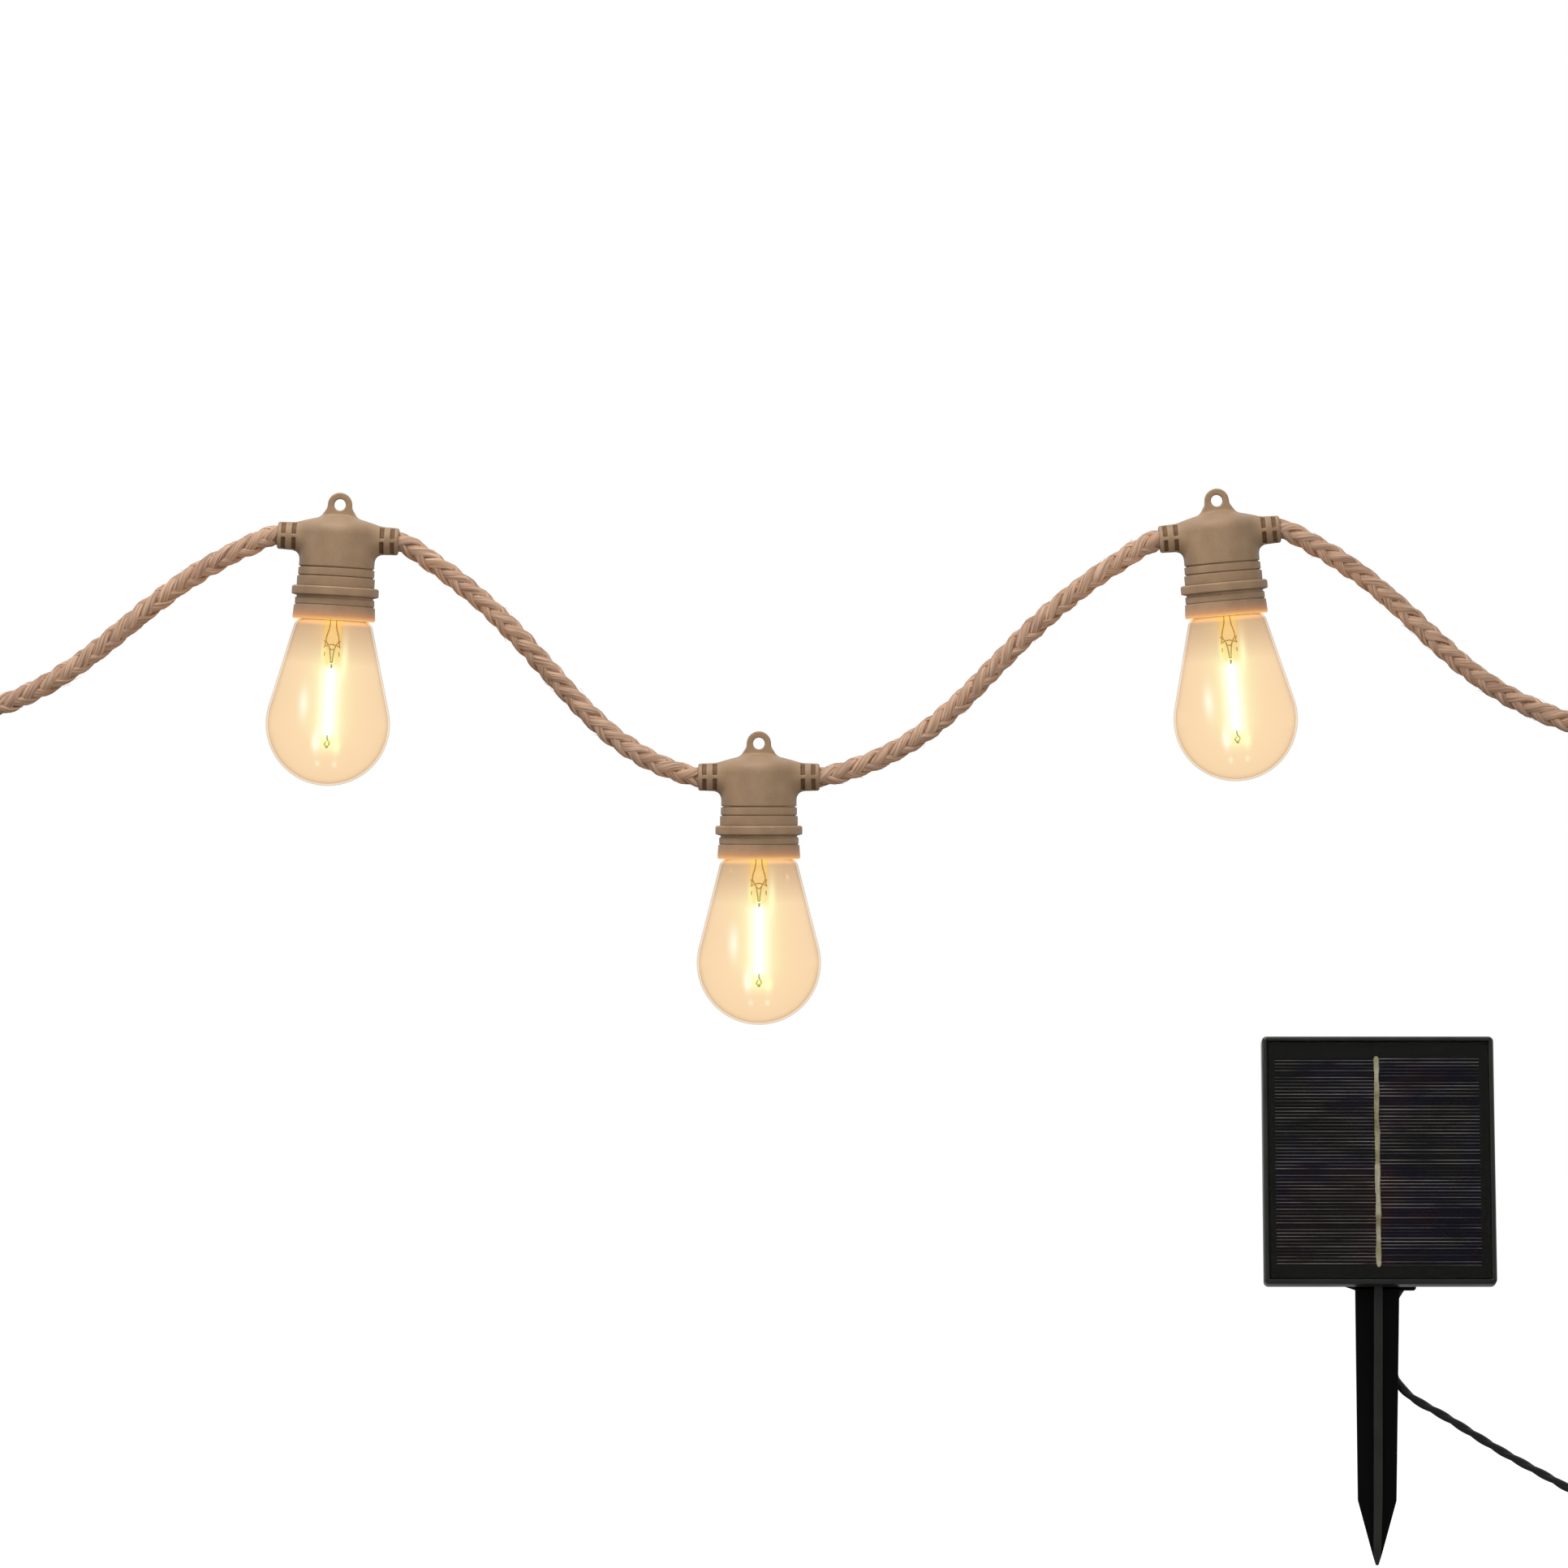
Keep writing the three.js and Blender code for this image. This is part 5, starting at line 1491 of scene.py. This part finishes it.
def build_world():
    world = bpy.data.worlds.new("studio")
    world.use_nodes = True
    tree = world.node_tree
    tree.nodes.clear()
    output = tree.nodes.new("ShaderNodeOutputWorld")
    background = tree.nodes.new("ShaderNodeBackground")
    path = tree.nodes.new("ShaderNodeLightPath")
    coordinates = tree.nodes.new("ShaderNodeTexCoord")
    parts = tree.nodes.new("ShaderNodeSeparateXYZ")
    tree.links.new(coordinates.outputs["Generated"], parts.inputs[0])
    ramp = tree.nodes.new("ShaderNodeValToRGB")
    shift = tree.nodes.new("ShaderNodeMath")
    shift.operation = "MULTIPLY_ADD"
    shift.inputs[1].default_value = 0.5
    shift.inputs[2].default_value = 0.5
    tree.links.new(parts.outputs[1], shift.inputs[0])
    tree.links.new(shift.outputs[0], ramp.inputs[0])
    for element, (place, value) in zip(ramp.color_ramp.elements, ((0.05, 0.30), (0.75, 0.95))):
        element.position = place
        element.color = (value, value, value * 1.02, 1)
    mix = tree.nodes.new("ShaderNodeMix")
    mix.data_type = "RGBA"
    tree.links.new(path.outputs["Is Camera Ray"], mix.inputs["Factor"])
    tree.links.new(ramp.outputs[0], mix.inputs["A"])
    mix.inputs["B"].default_value = (1, 1, 1, 1)
    tree.links.new(mix.outputs["Result"], background.inputs[0])
    tree.links.new(background.outputs[0], output.inputs[0])
    bpy.context.scene.world = world


def soft_light(name, place, target, size, power, mirrored=True):
    light = bpy.data.lights.new(name, "AREA")
    light.shape = "DISK"
    light.size = size * MM
    light.energy = power
    lamp = bpy.data.objects.new(name, light)
    lamp.location = Vector(place) * MM
    aim = (Vector(target) - Vector(place)).normalized()
    lamp.rotation_mode = "QUATERNION"
    lamp.rotation_quaternion = aim.to_track_quat("-Z", "Y")
    lamp.visible_camera = False
    lamp.visible_glossy = mirrored
    bpy.context.scene.collection.objects.link(lamp)


def build_camera():
    data = bpy.data.cameras.new("camera")
    data.sensor_width = SENSOR
    data.lens = SENSOR * VIEW_DISTANCE / VIEW_WIDTH
    data.clip_start = 0.01
    data.clip_end = 50
    camera = bpy.data.objects.new("camera", data)
    camera.location = (VIEW_CENTRE[0] * MM, -VIEW_DISTANCE * MM, VIEW_CENTRE[1] * MM)
    camera.rotation_euler = (math.pi / 2, 0, 0)
    bpy.context.scene.collection.objects.link(camera)
    bpy.context.scene.camera = camera
    bpy.context.scene.view_settings.view_transform = "Standard"


JUTE = jute("jute")
build_lamps()
rope_ends(build_rope())
build_leads()
build_connector()
build_panel()
build_stake()
build_stage()
build_world()
soft_light("top_light", (-300, -350, 900), (0, 0, 0), 700, 9.0)
soft_light("front_light", (250, -1100, 300), (0, 0, -50), 500, 5.0, mirrored=False)
build_camera()
